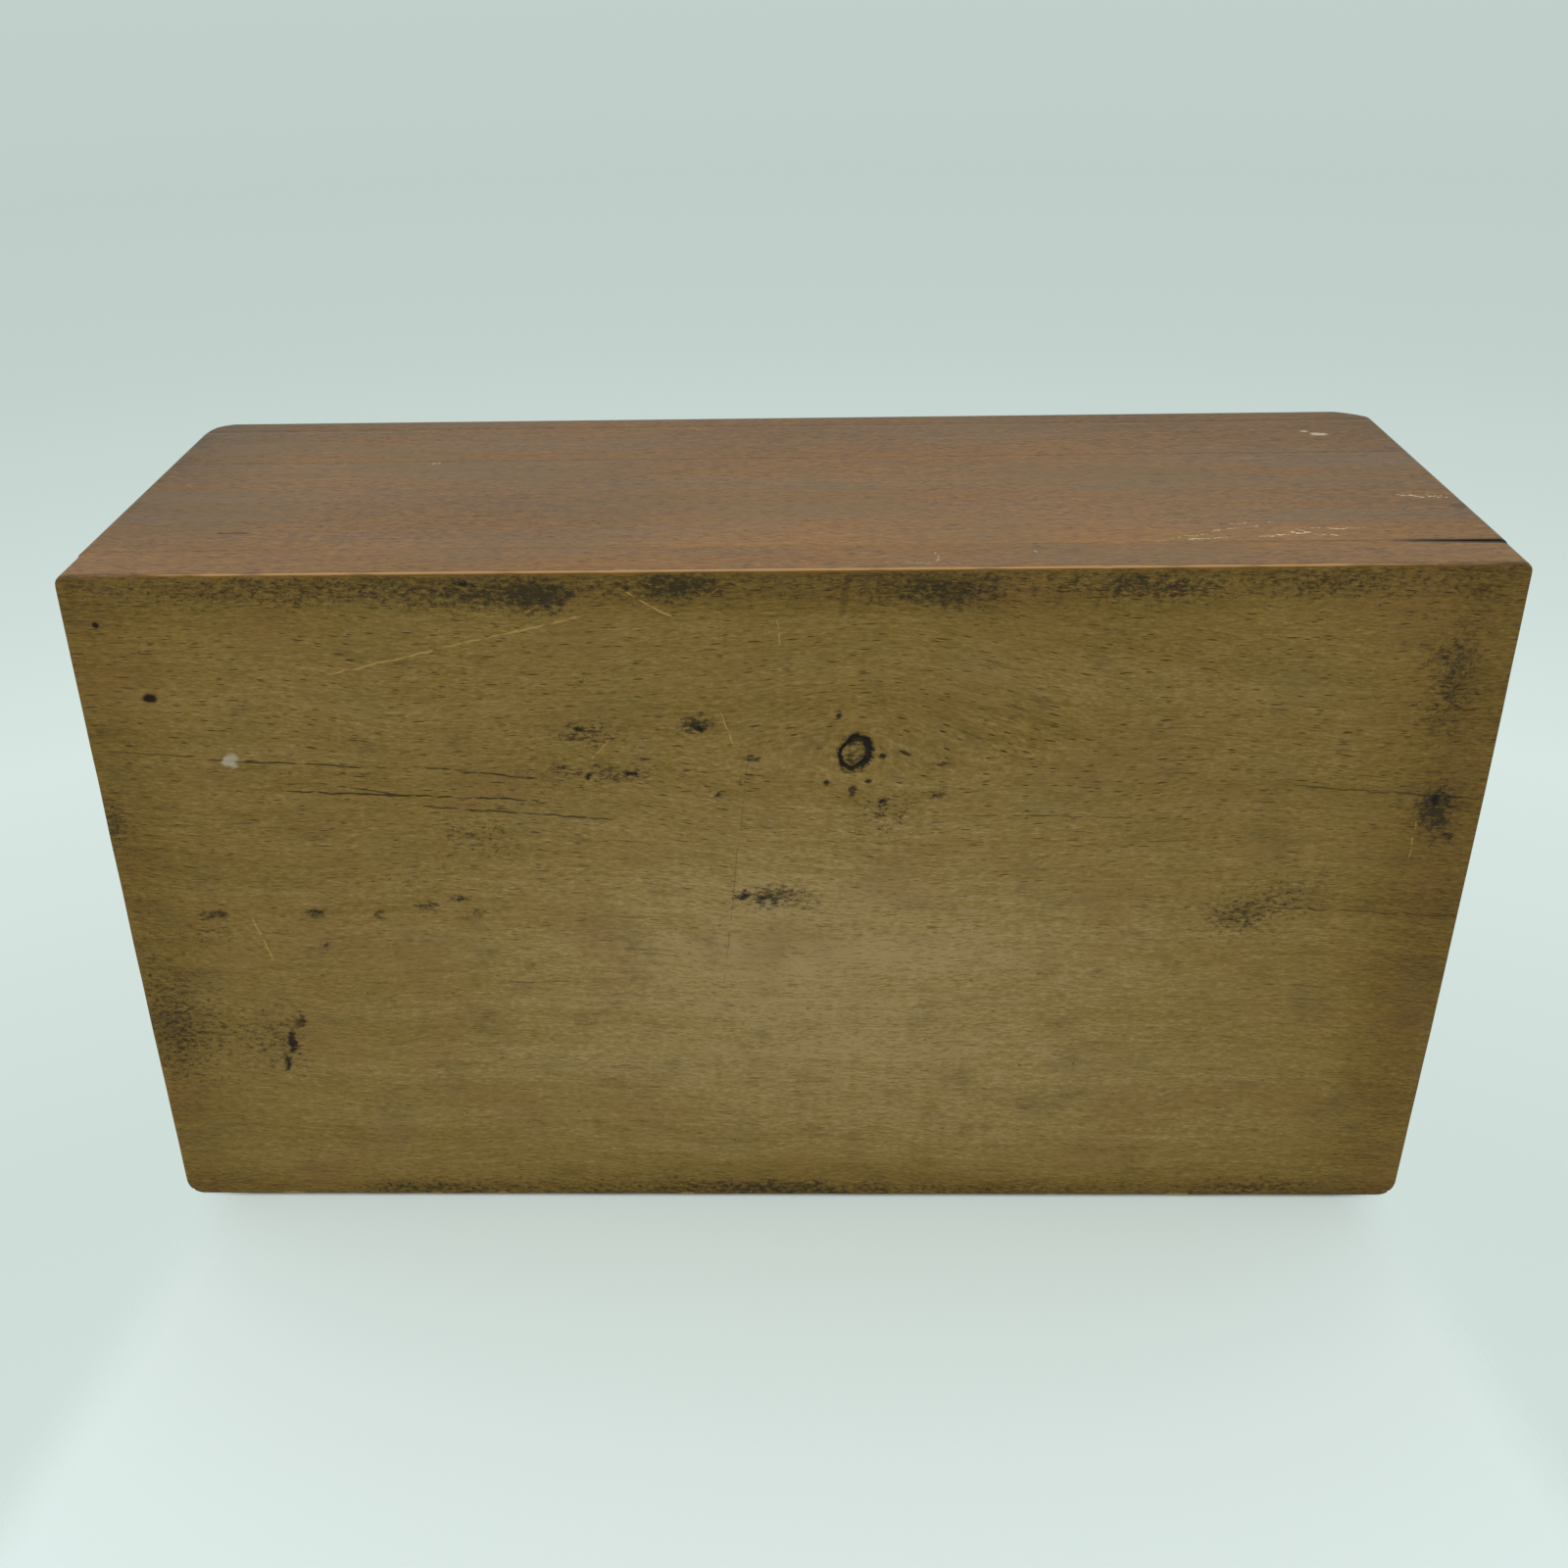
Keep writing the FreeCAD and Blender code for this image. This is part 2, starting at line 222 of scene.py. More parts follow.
# %% [markdown]
# ## Stage
# The box was photographed on pale paper that sweeps up behind it. The paper under the box lies in the plane
# of the box's front side here, because the box lies on that side, and only the half towards the camera is
# needed. The upright views get a floor under the base. It is seen by the camera alone and only from above, so
# that it never hides the base from the photograph's camera or keeps light from it.

# %% Floors


def flat(name, corners):
    """One four-sided sheet."""
    mesh = bpy.data.meshes.new(name)
    mesh.from_pydata(corners, [], [(0, 1, 2, 3)])
    sheet = bpy.data.objects.new(name, mesh)
    scene.collection.objects.link(sheet)
    return sheet


paper_y = -0.0552
paper_edge = 0.0012
paper_fade = 0.07
box_end = 0.1
paper_corners = [(-2, paper_y, paper_edge), (2, paper_y, paper_edge), (2, paper_y, -2), (-2, paper_y, -2)]
paper = flat("paper", paper_corners)
paper_material, tree, shader = new_material("paper")
shader.inputs["Base Color"].default_value = shade(230, 246, 245)
shader.inputs["Roughness"].default_value = 0.9
shader.inputs["Specular IOR Level"].default_value = 0.1
spot = tree.nodes.new("ShaderNodeNewGeometry")
spot_parts = tree.nodes.new("ShaderNodeSeparateXYZ")
feed(tree, spot_parts.inputs[0], spot.outputs["Position"])
beside = calc(tree, "SUBTRACT", box_end, calc(tree, "ABSOLUTE", spot_parts.outputs[0]))
nearness = calc(tree, "SUBTRACT", calc(tree, "MULTIPLY", beside, 6.0), spot_parts.outputs[2])
from_front = calc(tree, "SUBTRACT", 1.0, spot.outputs["Backfacing"])
feed(tree, shader.inputs["Alpha"], calc(tree, "MULTIPLY", span(tree, nearness, 0.0, paper_fade), from_front))
paper.data.materials.append(paper_material)

ground_z = -0.0006
ground = flat("ground", [(-3, -3, ground_z), (3, -3, ground_z), (3, 3, ground_z), (-3, 3, ground_z)])
ground_material, tree, shader = new_material("ground")
shader.inputs["Base Color"].default_value = shade(214, 227, 222)
shader.inputs["Roughness"].default_value = 0.9
shader.inputs["Specular IOR Level"].default_value = 0.1
below = tree.nodes.new("ShaderNodeNewGeometry").outputs["Backfacing"]
feed(tree, shader.inputs["Alpha"], calc(tree, "SUBTRACT", 1.0, below))
ground.data.materials.append(ground_material)
for flag in ("visible_diffuse", "visible_glossy", "visible_transmission", "visible_shadow"):
    setattr(ground, flag, False)
print("paper and ground laid")

# %% [markdown]
# ## Light
# The photograph has soft light from all round with a little more from above and from the camera's side. An
# even, nearly white world does most of it, so a colour renders about as it is written. What the camera sees
# behind the box is a second, pale background, a little darker towards the top of the picture. One lamp stands
# above the photograph's camera, and the other lights the upright box from over its lid.

# %% World and lamps
world = bpy.data.worlds.new("studio")
world.use_nodes = True
scene.world = world
tree = world.node_tree
tree.nodes.clear()
direction = tree.nodes.new("ShaderNodeTexCoord").outputs["Generated"]
direction_parts = tree.nodes.new("ShaderNodeSeparateXYZ")
feed(tree, direction_parts.inputs[0], direction)
fall = span(tree, direction_parts.outputs[1], -1.0, 0.0)
fall.node.interpolation_type = "LINEAR"
seen_colour = ladder(
    tree,
    fall,
    [
        (0.20, shade(212, 226, 221)),
        (0.39, shade(206, 221, 216)),
        (0.48, shade(210, 225, 220)),
        (0.58, shade(216, 231, 226)),
        (0.67, shade(205, 220, 215)),
        (0.77, shade(194, 209, 204)),
        (0.86, shade(190, 205, 200)),
        (0.95, shade(193, 208, 203)),
    ],
)
seen = tree.nodes.new("ShaderNodeBackground")
feed(tree, seen.inputs["Color"], seen_colour)
even = tree.nodes.new("ShaderNodeBackground")
even.inputs["Color"].default_value = (1.0, 0.99, 0.97, 1.0)
even.inputs["Strength"].default_value = 0.72
path = tree.nodes.new("ShaderNodeLightPath")
looked_at = calc(tree, "ADD", path.outputs["Is Camera Ray"], path.outputs["Is Glossy Ray"])
looked_at = calc(tree, "ADD", looked_at, path.outputs["Is Transmission Ray"], clamp=True)
chosen = tree.nodes.new("ShaderNodeMixShader")
feed(tree, chosen.inputs[0], looked_at)
tree.links.new(even.outputs[0], chosen.inputs[1])
tree.links.new(seen.outputs[0], chosen.inputs[2])
output = tree.nodes.new("ShaderNodeOutputWorld")
tree.links.new(chosen.outputs[0], output.inputs[0])


def soft_lamp(name, place, power, size):
    """A large square lamp that points at the box."""
    data = bpy.data.lights.new(name, "AREA")
    data.energy = power
    data.size = size
    lamp = bpy.data.objects.new(name, data)
    lamp.location = place
    lamp.rotation_euler = (Vector((0, 0, 0.03)) - Vector(place)).to_track_quat("-Z", "Y").to_euler()
    scene.collection.objects.link(lamp)


soft_lamp("lamp_above_photo", (0.3, 0.95, -0.55), 5.0, 1.0)
soft_lamp("lamp_over_lid", (0.25, -0.6, 1.1), 4.5, 1.0)

# %% [markdown]
# ## Wood grain
# All the boards are a beech-like wood. Its signs are long soft streaks and many short dark flecks, both along
# the grain. They are drawn in a space measured in millimetres whose first axis follows the grain, so that one
# recipe serves long boards, end boards and upright dowels.

# %% Grain space, streaks and flecks


def grain_space(tree, along="X", slope=0.0, bend=0.0):
    """The point in mm, plain and with the grain as its first axis. The bend pushes the grain sideways."""
    place = tree.nodes.new("ShaderNodeTexCoord").outputs["Object"]
    place = stretch(tree, place, (1000, 1000, 1000))
    parts = tree.nodes.new("ShaderNodeSeparateXYZ")
    feed(tree, parts.inputs[0], place)
    x, y, z = parts.outputs
    order = {"X": (x, y, z), "Y": (y, x, z), "Z": (z, x, y)}[along]
    across = calc(tree, "SUBTRACT", order[1], calc(tree, "MULTIPLY", order[0], slope))
    wave = cloud(tree, stretch(tree, place, (0.02, 0.02, 0.02)), 1.0)
    across = calc(tree, "ADD", calc(tree, "ADD", across, bend), calc(tree, "MULTIPLY", wave, 7.0))
    joined = tree.nodes.new("ShaderNodeCombineXYZ")
    for socket, value in zip(joined.inputs, (order[0], across, order[2])):
        feed(tree, socket, value)
    return place, joined.outputs[0]


def streaks(tree, grain, along, across, detail=3.0):
    """Noise drawn out along the grain. Both numbers are features per mm."""
    return cloud(tree, stretch(tree, grain, (along, across, across)), detail, 0.6)


def flecks(tree, grain, length, width, share, shift=0.0):
    """Short dark dashes along the grain, 1 on a dash, with only a share of them drawn."""
    squeezed = stretch(tree, grain, (0.42 / length, 0.42 / width, 0.42 / width))
    squeezed = vector_calc(tree, "ADD", squeezed, (shift, shift, shift))
    cells = tree.nodes.new("ShaderNodeTexVoronoi")
    feed(tree, cells.inputs["Vector"], squeezed)
    cells.inputs["Scale"].default_value = 1.0
    dash = span(tree, cells.outputs["Distance"], 0.1, 0.24, 1.0, 0.0)
    chance = tree.nodes.new("ShaderNodeSeparateColor")
    feed(tree, chance.inputs[0], cells.outputs["Color"])
    drawn = span(tree, chance.outputs[0], 1.0 - share, 1.1 - share)
    return calc(tree, "MULTIPLY", dash, drawn)


print("grain recipe ready")

# %% [markdown]
# ## Marks
# Scratches, drying cracks and paint dabs lie at places that can be read off the photograph. A stroke is the
# distance from a straight line and a dab is the distance from a point, both in three dimensions, so a mark on
# one face doesn't come out on the other side of the board. Each is a node group, used once per mark.

# %% Stroke and dab groups


def group_with(name, sockets):
    """An empty node group with these inputs and one output."""
    made = bpy.data.node_groups.new(name, "ShaderNodeTree")
    for title, kind in sockets:
        made.interface.new_socket(title, in_out="INPUT", socket_type=kind)
    made.interface.new_socket("Mark", in_out="OUTPUT", socket_type="NodeSocketFloat")
    start = made.nodes.new("NodeGroupInput")
    end = made.nodes.new("NodeGroupOutput")
    return made, start.outputs, end.inputs[0]


VECTOR = "NodeSocketVector"
NUMBER = "NodeSocketFloat"
stroke_group, given, result = group_with(
    "stroke", [("Place", VECTOR), ("Start", VECTOR), ("End", VECTOR), ("Width", NUMBER)]
)
reach = vector_calc(stroke_group, "SUBTRACT", given["Place"], given["Start"])
line = vector_calc(stroke_group, "SUBTRACT", given["End"], given["Start"])
share = calc(
    stroke_group,
    "DIVIDE",
    vector_calc(stroke_group, "DOT_PRODUCT", reach, line),
    vector_calc(stroke_group, "DOT_PRODUCT", line, line),
    clamp=True,
)
scaled = stroke_group.nodes.new("ShaderNodeVectorMath")
scaled.operation = "SCALE"
feed(stroke_group, scaled.inputs[0], line)
feed(stroke_group, scaled.inputs["Scale"], share)
sideways = vector_calc(stroke_group, "SUBTRACT", reach, scaled.outputs[0])
off_line = vector_calc(stroke_group, "LENGTH", sideways)
taper = calc(stroke_group, "MULTIPLY", share, calc(stroke_group, "SUBTRACT", 1.0, share))
taper = span(stroke_group, taper, 0.0, 0.12, 0.25, 1.0)
half_width = calc(stroke_group, "MULTIPLY", given["Width"], taper)
ratio = calc(stroke_group, "DIVIDE", off_line, half_width)
feed(stroke_group, result, span(stroke_group, ratio, 0.35, 1.0, 1.0, 0.0))

dab_group, given, result = group_with("dab", [("Place", VECTOR), ("Centre", VECTOR), ("Size", VECTOR)])
offset = vector_calc(dab_group, "SUBTRACT", given["Place"], given["Centre"])
ratio = vector_calc(dab_group, "LENGTH", vector_calc(dab_group, "DIVIDE", offset, given["Size"]))
feed(dab_group, result, span(dab_group, ratio, 0.45, 1.0, 1.0, 0.0))


def gather(tree, group, place, entries):
    """The strongest of several marks. Each entry is what the group takes after the place, then a strength."""
    total = None
    for *values, strength in entries:
        made = tree.nodes.new("ShaderNodeGroup")
        made.node_tree = group
        feed(tree, made.inputs[0], place)
        for socket, value in zip(made.inputs[1:], values):
            feed(tree, socket, value)
        mark = calc(tree, "MULTIPLY", made.outputs[0], strength)
        total = mark if total is None else calc(tree, "MAXIMUM", total, mark)
    return total


def ragged(tree, place, amount, size):
    """The place pushed about by noise, so that marks drawn there get uneven edges."""
    made = tree.nodes.new("ShaderNodeTexNoise")
    feed(tree, made.inputs["Vector"], stretch(tree, place, (1 / size, 1 / size, 1 / size)))
    made.inputs["Scale"].default_value = 1.0
    made.inputs["Detail"].default_value = 2.0
    push = vector_calc(tree, "SUBTRACT", made.outputs["Color"], (0.5, 0.5, 0.5))
    push = stretch(tree, push, (amount * 2, amount * 2, amount * 2))
    return vector_calc(tree, "ADD", place, push)


print("groups:", stroke_group.name, dab_group.name)

# %% [markdown]
# ## Bare wood of the base
# The base was never varnished. It is ochre and olive where it is dirty, lighter and greyer over the middle
# towards the front side, darker at the ends and along the long edges, and nearly black with mould along the
# back edge. Broad stains are painted on the points of the mesh.
# The nodes break them up into specks, and add the grain, the drying cracks and the scratches.

# %% Bare wood material
bare_wood, tree, shader = new_material("bare_wood")
place, grain = grain_space(tree, "X", 0.045, painted(tree, "bend"))
broad = streaks(tree, grain, 0.012, 0.16)
fine = streaks(tree, grain, 0.16, 1.3, 4.0)
fibre = streaks(tree, grain, 0.9, 5.0, 2.0)
grit = cloud(tree, stretch(tree, grain, (0.7, 3.0, 3.0)), 3.0, 0.7)
tone = plus(tree, painted(tree, "tone"), broad, 0.42)
tone = plus(tree, tone, fine, 0.6)
tone = plus(tree, tone, fibre, 0.6)
tone = calc(tree, "SUBTRACT", calc(tree, "ADD", tone, grit), 1.22)
colour = ladder(
    tree,
    tone,
    [
        (0.0, shade(62, 46, 20)),
        (0.3, shade(98, 77, 33)),
        (0.55, shade(117, 95, 45)),
        (0.8, shade(134, 112, 65)),
        (1.0, shade(151, 130, 88)),
    ],
)
blotch = cloud(tree, stretch(tree, place, (0.05, 0.07, 0.07)), 2.0)
colour = mix(tree, span(tree, blotch, 0.48, 0.72, 0.0, 0.3), colour, shade(118, 88, 50))
mossy = cloud(tree, stretch(tree, place, (0.06, 0.09, 0.08)), 3.0, 0.6)
colour = mix(tree, span(tree, mossy, 0.52, 0.74, 0.0, 0.24), colour, shade(100, 92, 58))
smudge = cloud(tree, stretch(tree, grain, (0.12, 0.22, 0.22)), 6.0, 0.7)
colour = mix(tree, span(tree, smudge, 0.5, 0.78, 0.0, 0.45), colour, shade(72, 61, 34))
short_dashes = flecks(tree, grain, 1.3, 0.16, 0.62)
long_dashes = flecks(tree, grain, 2.2, 0.2, 0.36, 31.0)
dashes = calc(tree, "MAXIMUM", short_dashes, long_dashes)
dashes = calc(tree, "MULTIPLY", dashes, painted(tree, "flecked"))
rough_place = ragged(tree, place, 0.45, 3.0)
threads = flecks(tree, ragged(tree, grain, 0.6, 9.0), 11.0, 0.24, 0.34, 53.0)
colour = mix(tree, calc(tree, "MULTIPLY", threads, 0.36), colour, shade(60, 44, 20))
colour = mix(tree, calc(tree, "MULTIPLY", dashes, 0.85, True), colour, shade(62, 43, 19))
dots = flecks(tree, rough_place, 0.7, 0.5, 0.07, 7.0)
colour = mix(tree, calc(tree, "MULTIPLY", dots, 0.7), colour, shade(44, 36, 20))

base_cracks = gather(
    tree,
    stroke_group,
    rough_place,
    [
        ((76, 21.5, 0), (35, 19.6, 0), 0.22, 0.9),
        ((54.2, 18.8, 0), (25, 16.4, 0), 0.19, 0.8),
        ((99, 28.2, 0), (84, 27.0, 0), 0.18, 0.6),
        ((85.4, 26.7, 0), (55.5, 24.9, 0), 0.19, 0.8),
        ((66.5, 22.6, 0), (54, 20.3, 0), 0.18, 0.75),
        ((53.5, 25.4, 0), (34.4, 23.1, 0), 0.19, 0.8),
        ((99, 15.4, 0), (77.3, 16.2, 0), 0.16, 0.45),
        ((-25, 17.0, 0), (-61, 16.0, 0), 0.16, 0.6),
        ((-71, 21.6, 0), (-100, 19.0, 0), 0.18, 0.7),
        ((-69, 1.2, 0), (-100, -0.8, 0), 0.18, 0.6),
        ((44, -12.0, 0), (31, -12.2, 0), 0.17, 0.5),
        ((4.8, 31.0, 0), (9.8, -15.0, 0), 0.14, 0.3),
        ((-8.7, 54.5, 0), (-7.7, 47.8, 0), 0.7, 0.35),
    ],
)
colour = mix(tree, base_cracks, colour, shade(44, 32, 15))
base_scratches = gather(
    tree,
    stroke_group,
    rough_place,
    [
        ((65, 39.6, 0), (24.5, 49.2, 0), 0.2, 0.5),
        ((28, 26.0, 0), (23.8, 31.0, 0), 0.16, 0.4),
        ((81, 0.0, 0), (78.5, -8.8, 0), 0.2, 0.5),
        ((1.2, 47.8, 0), (0.5, 43.5, 0), 0.16, 0.4),
        ((-91, 16.0, 0), (-91, 9.0, 0), 0.16, 0.4),
        ((9, 33.5, 0), (7.4, 28.5, 0), 0.18, 0.5),
        ((22, 52.0, 0), (15, 48.0, 0), 0.2, 0.6),
        ((84, -54.6, 0), (80, -54.5, 0), 0.45, 0.5),
        ((61, -54.6, 0), (57, -54.5, 0), 0.45, 0.6),
        ((48, -54.5, 0), (46, -54.6, 0), 0.4, 0.5),
        ((17.5, -54.4, 0), (15.5, -54.5, 0), 0.5, 0.6),
        ((-62, -54.6, 0), (-66, -54.5, 0), 0.4, 0.5),
    ],
)
colour = mix(tree, base_scratches, colour, shade(176, 148, 84))

specks = cloud(tree, stretch(tree, rough_place, (0.9, 1.6, 1.6)), 5.0, 0.75)
uneven_specks = calc(tree, "SUBTRACT", specks, 0.5)
mould = plus(tree, painted(tree, "mould"), uneven_specks, 2.0)
mould = calc(tree, "MULTIPLY", span(tree, mould, 0.24, 0.7), 0.85)
colour = mix(tree, mould, colour, shade(36, 33, 22))
soot = plus(tree, painted(tree, "soot"), uneven_specks, 1.1)
soot = calc(tree, "MULTIPLY", span(tree, soot, 0.22, 0.6), 0.9)
colour = mix(tree, soot, colour, shade(22, 20, 15))
base_paint = gather(
    tree,
    dab_group,
    ragged(tree, place, 1.3, 1.6),
    [((80, 26.5, 0), (1.5, 1.6, 1.5), 0.55)],
)
colour = mix(tree, base_paint, colour, shade(176, 174, 152))
base_holes = gather(
    tree,
    dab_group,
    ragged(tree, place, 0.25, 1.0),
    [((89.9, 36.4, 0), (1.5, 1.0, 1), 1.0), ((95.5, 47.6, 0), (0.65, 0.6, 1), 1.0)],
)
colour = mix(tree, base_holes, colour, shade(34, 22, 14))
worn = span(tree, plus(tree, painted(tree, "worn"), specks, 0.7), 0.5, 1.25)
colour = mix(tree, worn, colour, shade(134, 90, 36))
feed(tree, shader.inputs["Base Color"], colour)
feed(tree, shader.inputs["Roughness"], span(tree, fine, 0.2, 0.8, 0.62, 0.82))
shader.inputs["Specular IOR Level"].default_value = 0.12
relief = calc(tree, "SUBTRACT", calc(tree, "MULTIPLY", fibre, 0.5), calc(tree, "MULTIPLY", dashes, 0.35))
roughen(tree, shader, relief, 0.5, 0.00018)
print("bare wood nodes:", len(tree.nodes))

# %% [markdown]
# ## Varnished wood of the sides and the top
# A thin reddish brown varnish, worn satin. It is lighter and more orange low on the box and along the middle
# of its length, darker high up and towards the ends, and broken to pale wood along the edges. The greyish look
# of the upper side in the photograph is taken to come from the pale studio, mirrored at a low angle, so it is
# left to the shader's gloss.

# %% Varnished wood material


def varnished(name, along, marked=False):
    """The varnish over wood whose grain runs along an axis, with the photographed side's marks if asked."""
    made, tree, shader = new_material(name)
    place, grain = grain_space(tree, along, 0.01)
    broad = streaks(tree, grain, 0.012, 0.14)
    fine = streaks(tree, grain, 0.09, 1.3)
    fibre = streaks(tree, grain, 0.6, 5.0, 2.0)
    grit = cloud(tree, stretch(tree, grain, (0.7, 3.2, 3.2)), 3.0, 0.7)
    tone = plus(tree, painted(tree, "tone"), broad, 0.4)
    tone = plus(tree, tone, fine, 0.45)
    tone = plus(tree, tone, fibre, 0.6)
    tone = calc(tree, "SUBTRACT", plus(tree, tone, grit, 1.5), 1.46)
    colour = ladder(
        tree,
        tone,
        [
            (0.0, shade(80, 55, 31)),
            (0.3, shade(110, 77, 42)),
            (0.6, shade(136, 96, 49)),
            (1.0, shade(162, 117, 60)),
        ],
    )
    dull = cloud(tree, stretch(tree, place, (0.025, 0.04, 0.06)), 2.0)
    colour = mix(tree, span(tree, dull, 0.46, 0.7, 0.0, 0.5), colour, shade(112, 90, 56))
    short_dashes = flecks(tree, grain, 1.3, 0.2, 0.5)
    long_dashes = flecks(tree, grain, 2.4, 0.24, 0.3, 17.0)
    dashes = calc(tree, "MAXIMUM", short_dashes, long_dashes)
    threads = flecks(tree, ragged(tree, grain, 0.6, 9.0), 12.0, 0.26, 0.4, 53.0)
    colour = mix(tree, calc(tree, "MULTIPLY", threads, 0.34), colour, shade(64, 42, 24))
    colour = mix(tree, calc(tree, "MULTIPLY", dashes, 0.9), colour, shade(52, 33, 18))
    relief = calc(tree, "SUBTRACT", calc(tree, "MULTIPLY", fibre, 0.4), calc(tree, "MULTIPLY", dashes, 0.3))
    if marked:
        colour, relief = back_marks(tree, place, colour, relief)
    worn = span(tree, plus(tree, painted(tree, "worn"), fine, 0.45), 0.55, 1.0)
    colour = mix(tree, worn, colour, shade(170, 132, 86))
    # This darkens the joint lines as grime, and paints shade inside the opened seam at one end.
    grime_and_shade = calc(tree, "MULTIPLY", painted(tree, "grime_and_shade"), span(tree, fine, 0.2, 0.6, 0.5, 1.0))
    colour = mix(tree, grime_and_shade, colour, shade(34, 25, 16))
    feed(tree, shader.inputs["Base Color"], colour)
    rough = plus(tree, span(tree, broad, 0.3, 0.7, 0.4, 0.52), worn, 0.2)
    feed(tree, shader.inputs["Roughness"], rough)
    shader.inputs["Specular IOR Level"].default_value = 0.32
    roughen(tree, shader, relief, 0.35, 0.00012)
    return made


def back_marks(tree, place, colour, relief):
    """The scratches, paint dabs and drying cracks of the photographed side, which lies at Y 55 mm."""
    rough_place = ragged(tree, place, 0.5, 2.5)
    pale = gather(
        tree,
        stroke_group,
        ragged(tree, place, 0.9, 1.3),
        [
            ((-51, 55, 9.5), (-60, 55, 12.5), 0.22, 0.4),
            ((-56, 55, 10.2), (-63, 55, 10.8), 0.3, 0.9),
            ((-60, 55, 13.5), (-68, 55, 15.5), 0.24, 0.5),
            ((-63, 55, 16.5), (-70, 55, 16.8), 0.24, 0.5),
            ((-66, 55, 11.0), (-74, 55, 12.6), 0.28, 0.9),
            ((-70, 55, 13.0), (-78, 55, 11.0), 0.26, 0.9),
            ((-74, 55, 14.5), (-82, 55, 14.0), 0.28, 0.9),
            ((-72, 55, 14.2), (-74, 55, 12.0), 0.24, 0.6),
            ((-34.4, 55, 6.6), (-35.2, 55, 4.6), 0.26, 0.5),
            ((-20.6, 55, 6.5), (-21.2, 55, 1.0), 0.26, 0.4),
            ((-16, 55, 2.2), (-24, 55, 1.6), 0.22, 0.4),
            ((-91, 55, 28.8), (-94.4, 55, 27.4), 0.34, 0.9),
            ((-94.4, 55, 27.4), (-97.6, 55, 28.6), 0.34, 0.9),
            ((-95, 55, 28.4), (-98, 55, 26.8), 0.26, 0.8),
            ((56.9, 55, 49.3), (55.4, 55, 49.2), 0.4, 0.8),
        ],
    )
    dabs = gather(
        tree,
        dab_group,
        ragged(tree, place, 0.7, 2.0),
        [((-88.2, 55, 60.2), (1.6, 1.5, 0.9), 0.85), ((-86.2, 55, 61.8), (1.1, 1.5, 0.8), 0.75)],
    )
    dark = gather(
        tree,
        stroke_group,
        rough_place,
        [
            ((82.5, 55, 16.6), (77.6, 55, 16.4), 0.42, 0.9),
            ((60, 55, 13.8), (54, 55, 13.2), 0.3, 0.4),
            ((-97, 55, 23.2), (-100, 55, 23.6), 1.3, 0.5),
        ],
    )
    breaks = cloud(tree, stretch(tree, place, (0.9, 0.9, 1.4)), 3.0, 0.6)
    pale = calc(tree, "MULTIPLY", pale, span(tree, breaks, 0.36, 0.52))
    colour = mix(tree, pale, colour, shade(214, 192, 154))
    colour = mix(tree, dabs, colour, shade(196, 182, 156))
    colour = mix(tree, dark, colour, shade(40, 26, 14))
    return colour, calc(tree, "SUBTRACT", relief, dark)


varnish_marked = varnished("varnish_back", "X", True)
varnish_long = varnished("varnish_long", "X")
varnish_end = varnished("varnish_end", "Y")
print("varnish nodes:", len(varnish_marked.node_tree.nodes))

# %% [markdown]
# ## Inside woods and brass
# The blocks, panels and runners inside are planed but bare, paler than the outside because no light or dirt
# reached them. The dowels and the pin are waxed and a little darker. The washer, pins and screws are dull
# brass.

# %% Inner materials


def plain_wood(name, along, dark, light, roughness):
    """Planed wood between two colours."""
    made, tree, shader = new_material(name)
    place, grain = grain_space(tree, along, 0.01)
    fine = streaks(tree, grain, 0.05, 1.2)
    broad = streaks(tree, grain, 0.012, 0.2)
    fibre = streaks(tree, grain, 0.3, 5.0, 2.0)
    tone = calc(tree, "ADD", calc(tree, "MULTIPLY", fine, 0.5), calc(tree, "MULTIPLY", broad, 0.5))
    colour = mix(tree, span(tree, tone, 0.3, 0.7), dark, light)
    dashes = flecks(tree, grain, 1.4, 0.2, 0.5)
    colour = mix(tree, calc(tree, "MULTIPLY", dashes, 0.3), colour, shade(88, 62, 34))
    dust = cloud(tree, stretch(tree, place, (0.08, 0.08, 0.08)), 3.0)
    colour = mix(tree, span(tree, dust, 0.5, 0.8, 0.0, 0.35), colour, shade(120, 98, 66))
    feed(tree, shader.inputs["Base Color"], colour)
    feed(tree, shader.inputs["Roughness"], span(tree, fine, 0.3, 0.7, roughness, roughness + 0.15))
    shader.inputs["Specular IOR Level"].default_value = 0.35
    relief = calc(tree, "SUBTRACT", fibre, calc(tree, "MULTIPLY", dashes, 0.4))
    roughen(tree, shader, relief, 0.4, 0.00012)
    return made


planed = (shade(146, 113, 72), shade(176, 142, 96), 0.6)
planed_upright = (shade(140, 108, 68), shade(168, 134, 90), 0.6)
waxed = (shade(122, 86, 48), shade(150, 110, 66), 0.4)
inner_long = plain_wood("inner_long", "X", *planed)
inner_cross = plain_wood("inner_cross", "Y", *planed)
inner_upright = plain_wood("inner_upright", "Z", *planed_upright)
dowel_upright = plain_wood("dowel_upright", "Z", *waxed)
dowel_cross = plain_wood("dowel_cross", "Y", *waxed)

brass, tree, shader = new_material("dull_brass")
place = tree.nodes.new("ShaderNodeTexCoord").outputs["Object"]
tarnish = cloud(tree, stretch(tree, place, (400, 400, 400)), 4.0, 0.6)
colour = mix(tree, span(tree, tarnish, 0.4, 0.7), shade(196, 160, 92), shade(122, 92, 52))
feed(tree, shader.inputs["Base Color"], colour)
feed(tree, shader.inputs["Roughness"], span(tree, tarnish, 0.3, 0.7, 0.3, 0.55))
shader.inputs["Metallic"].default_value = 1.0
print("materials:", len(bpy.data.materials))

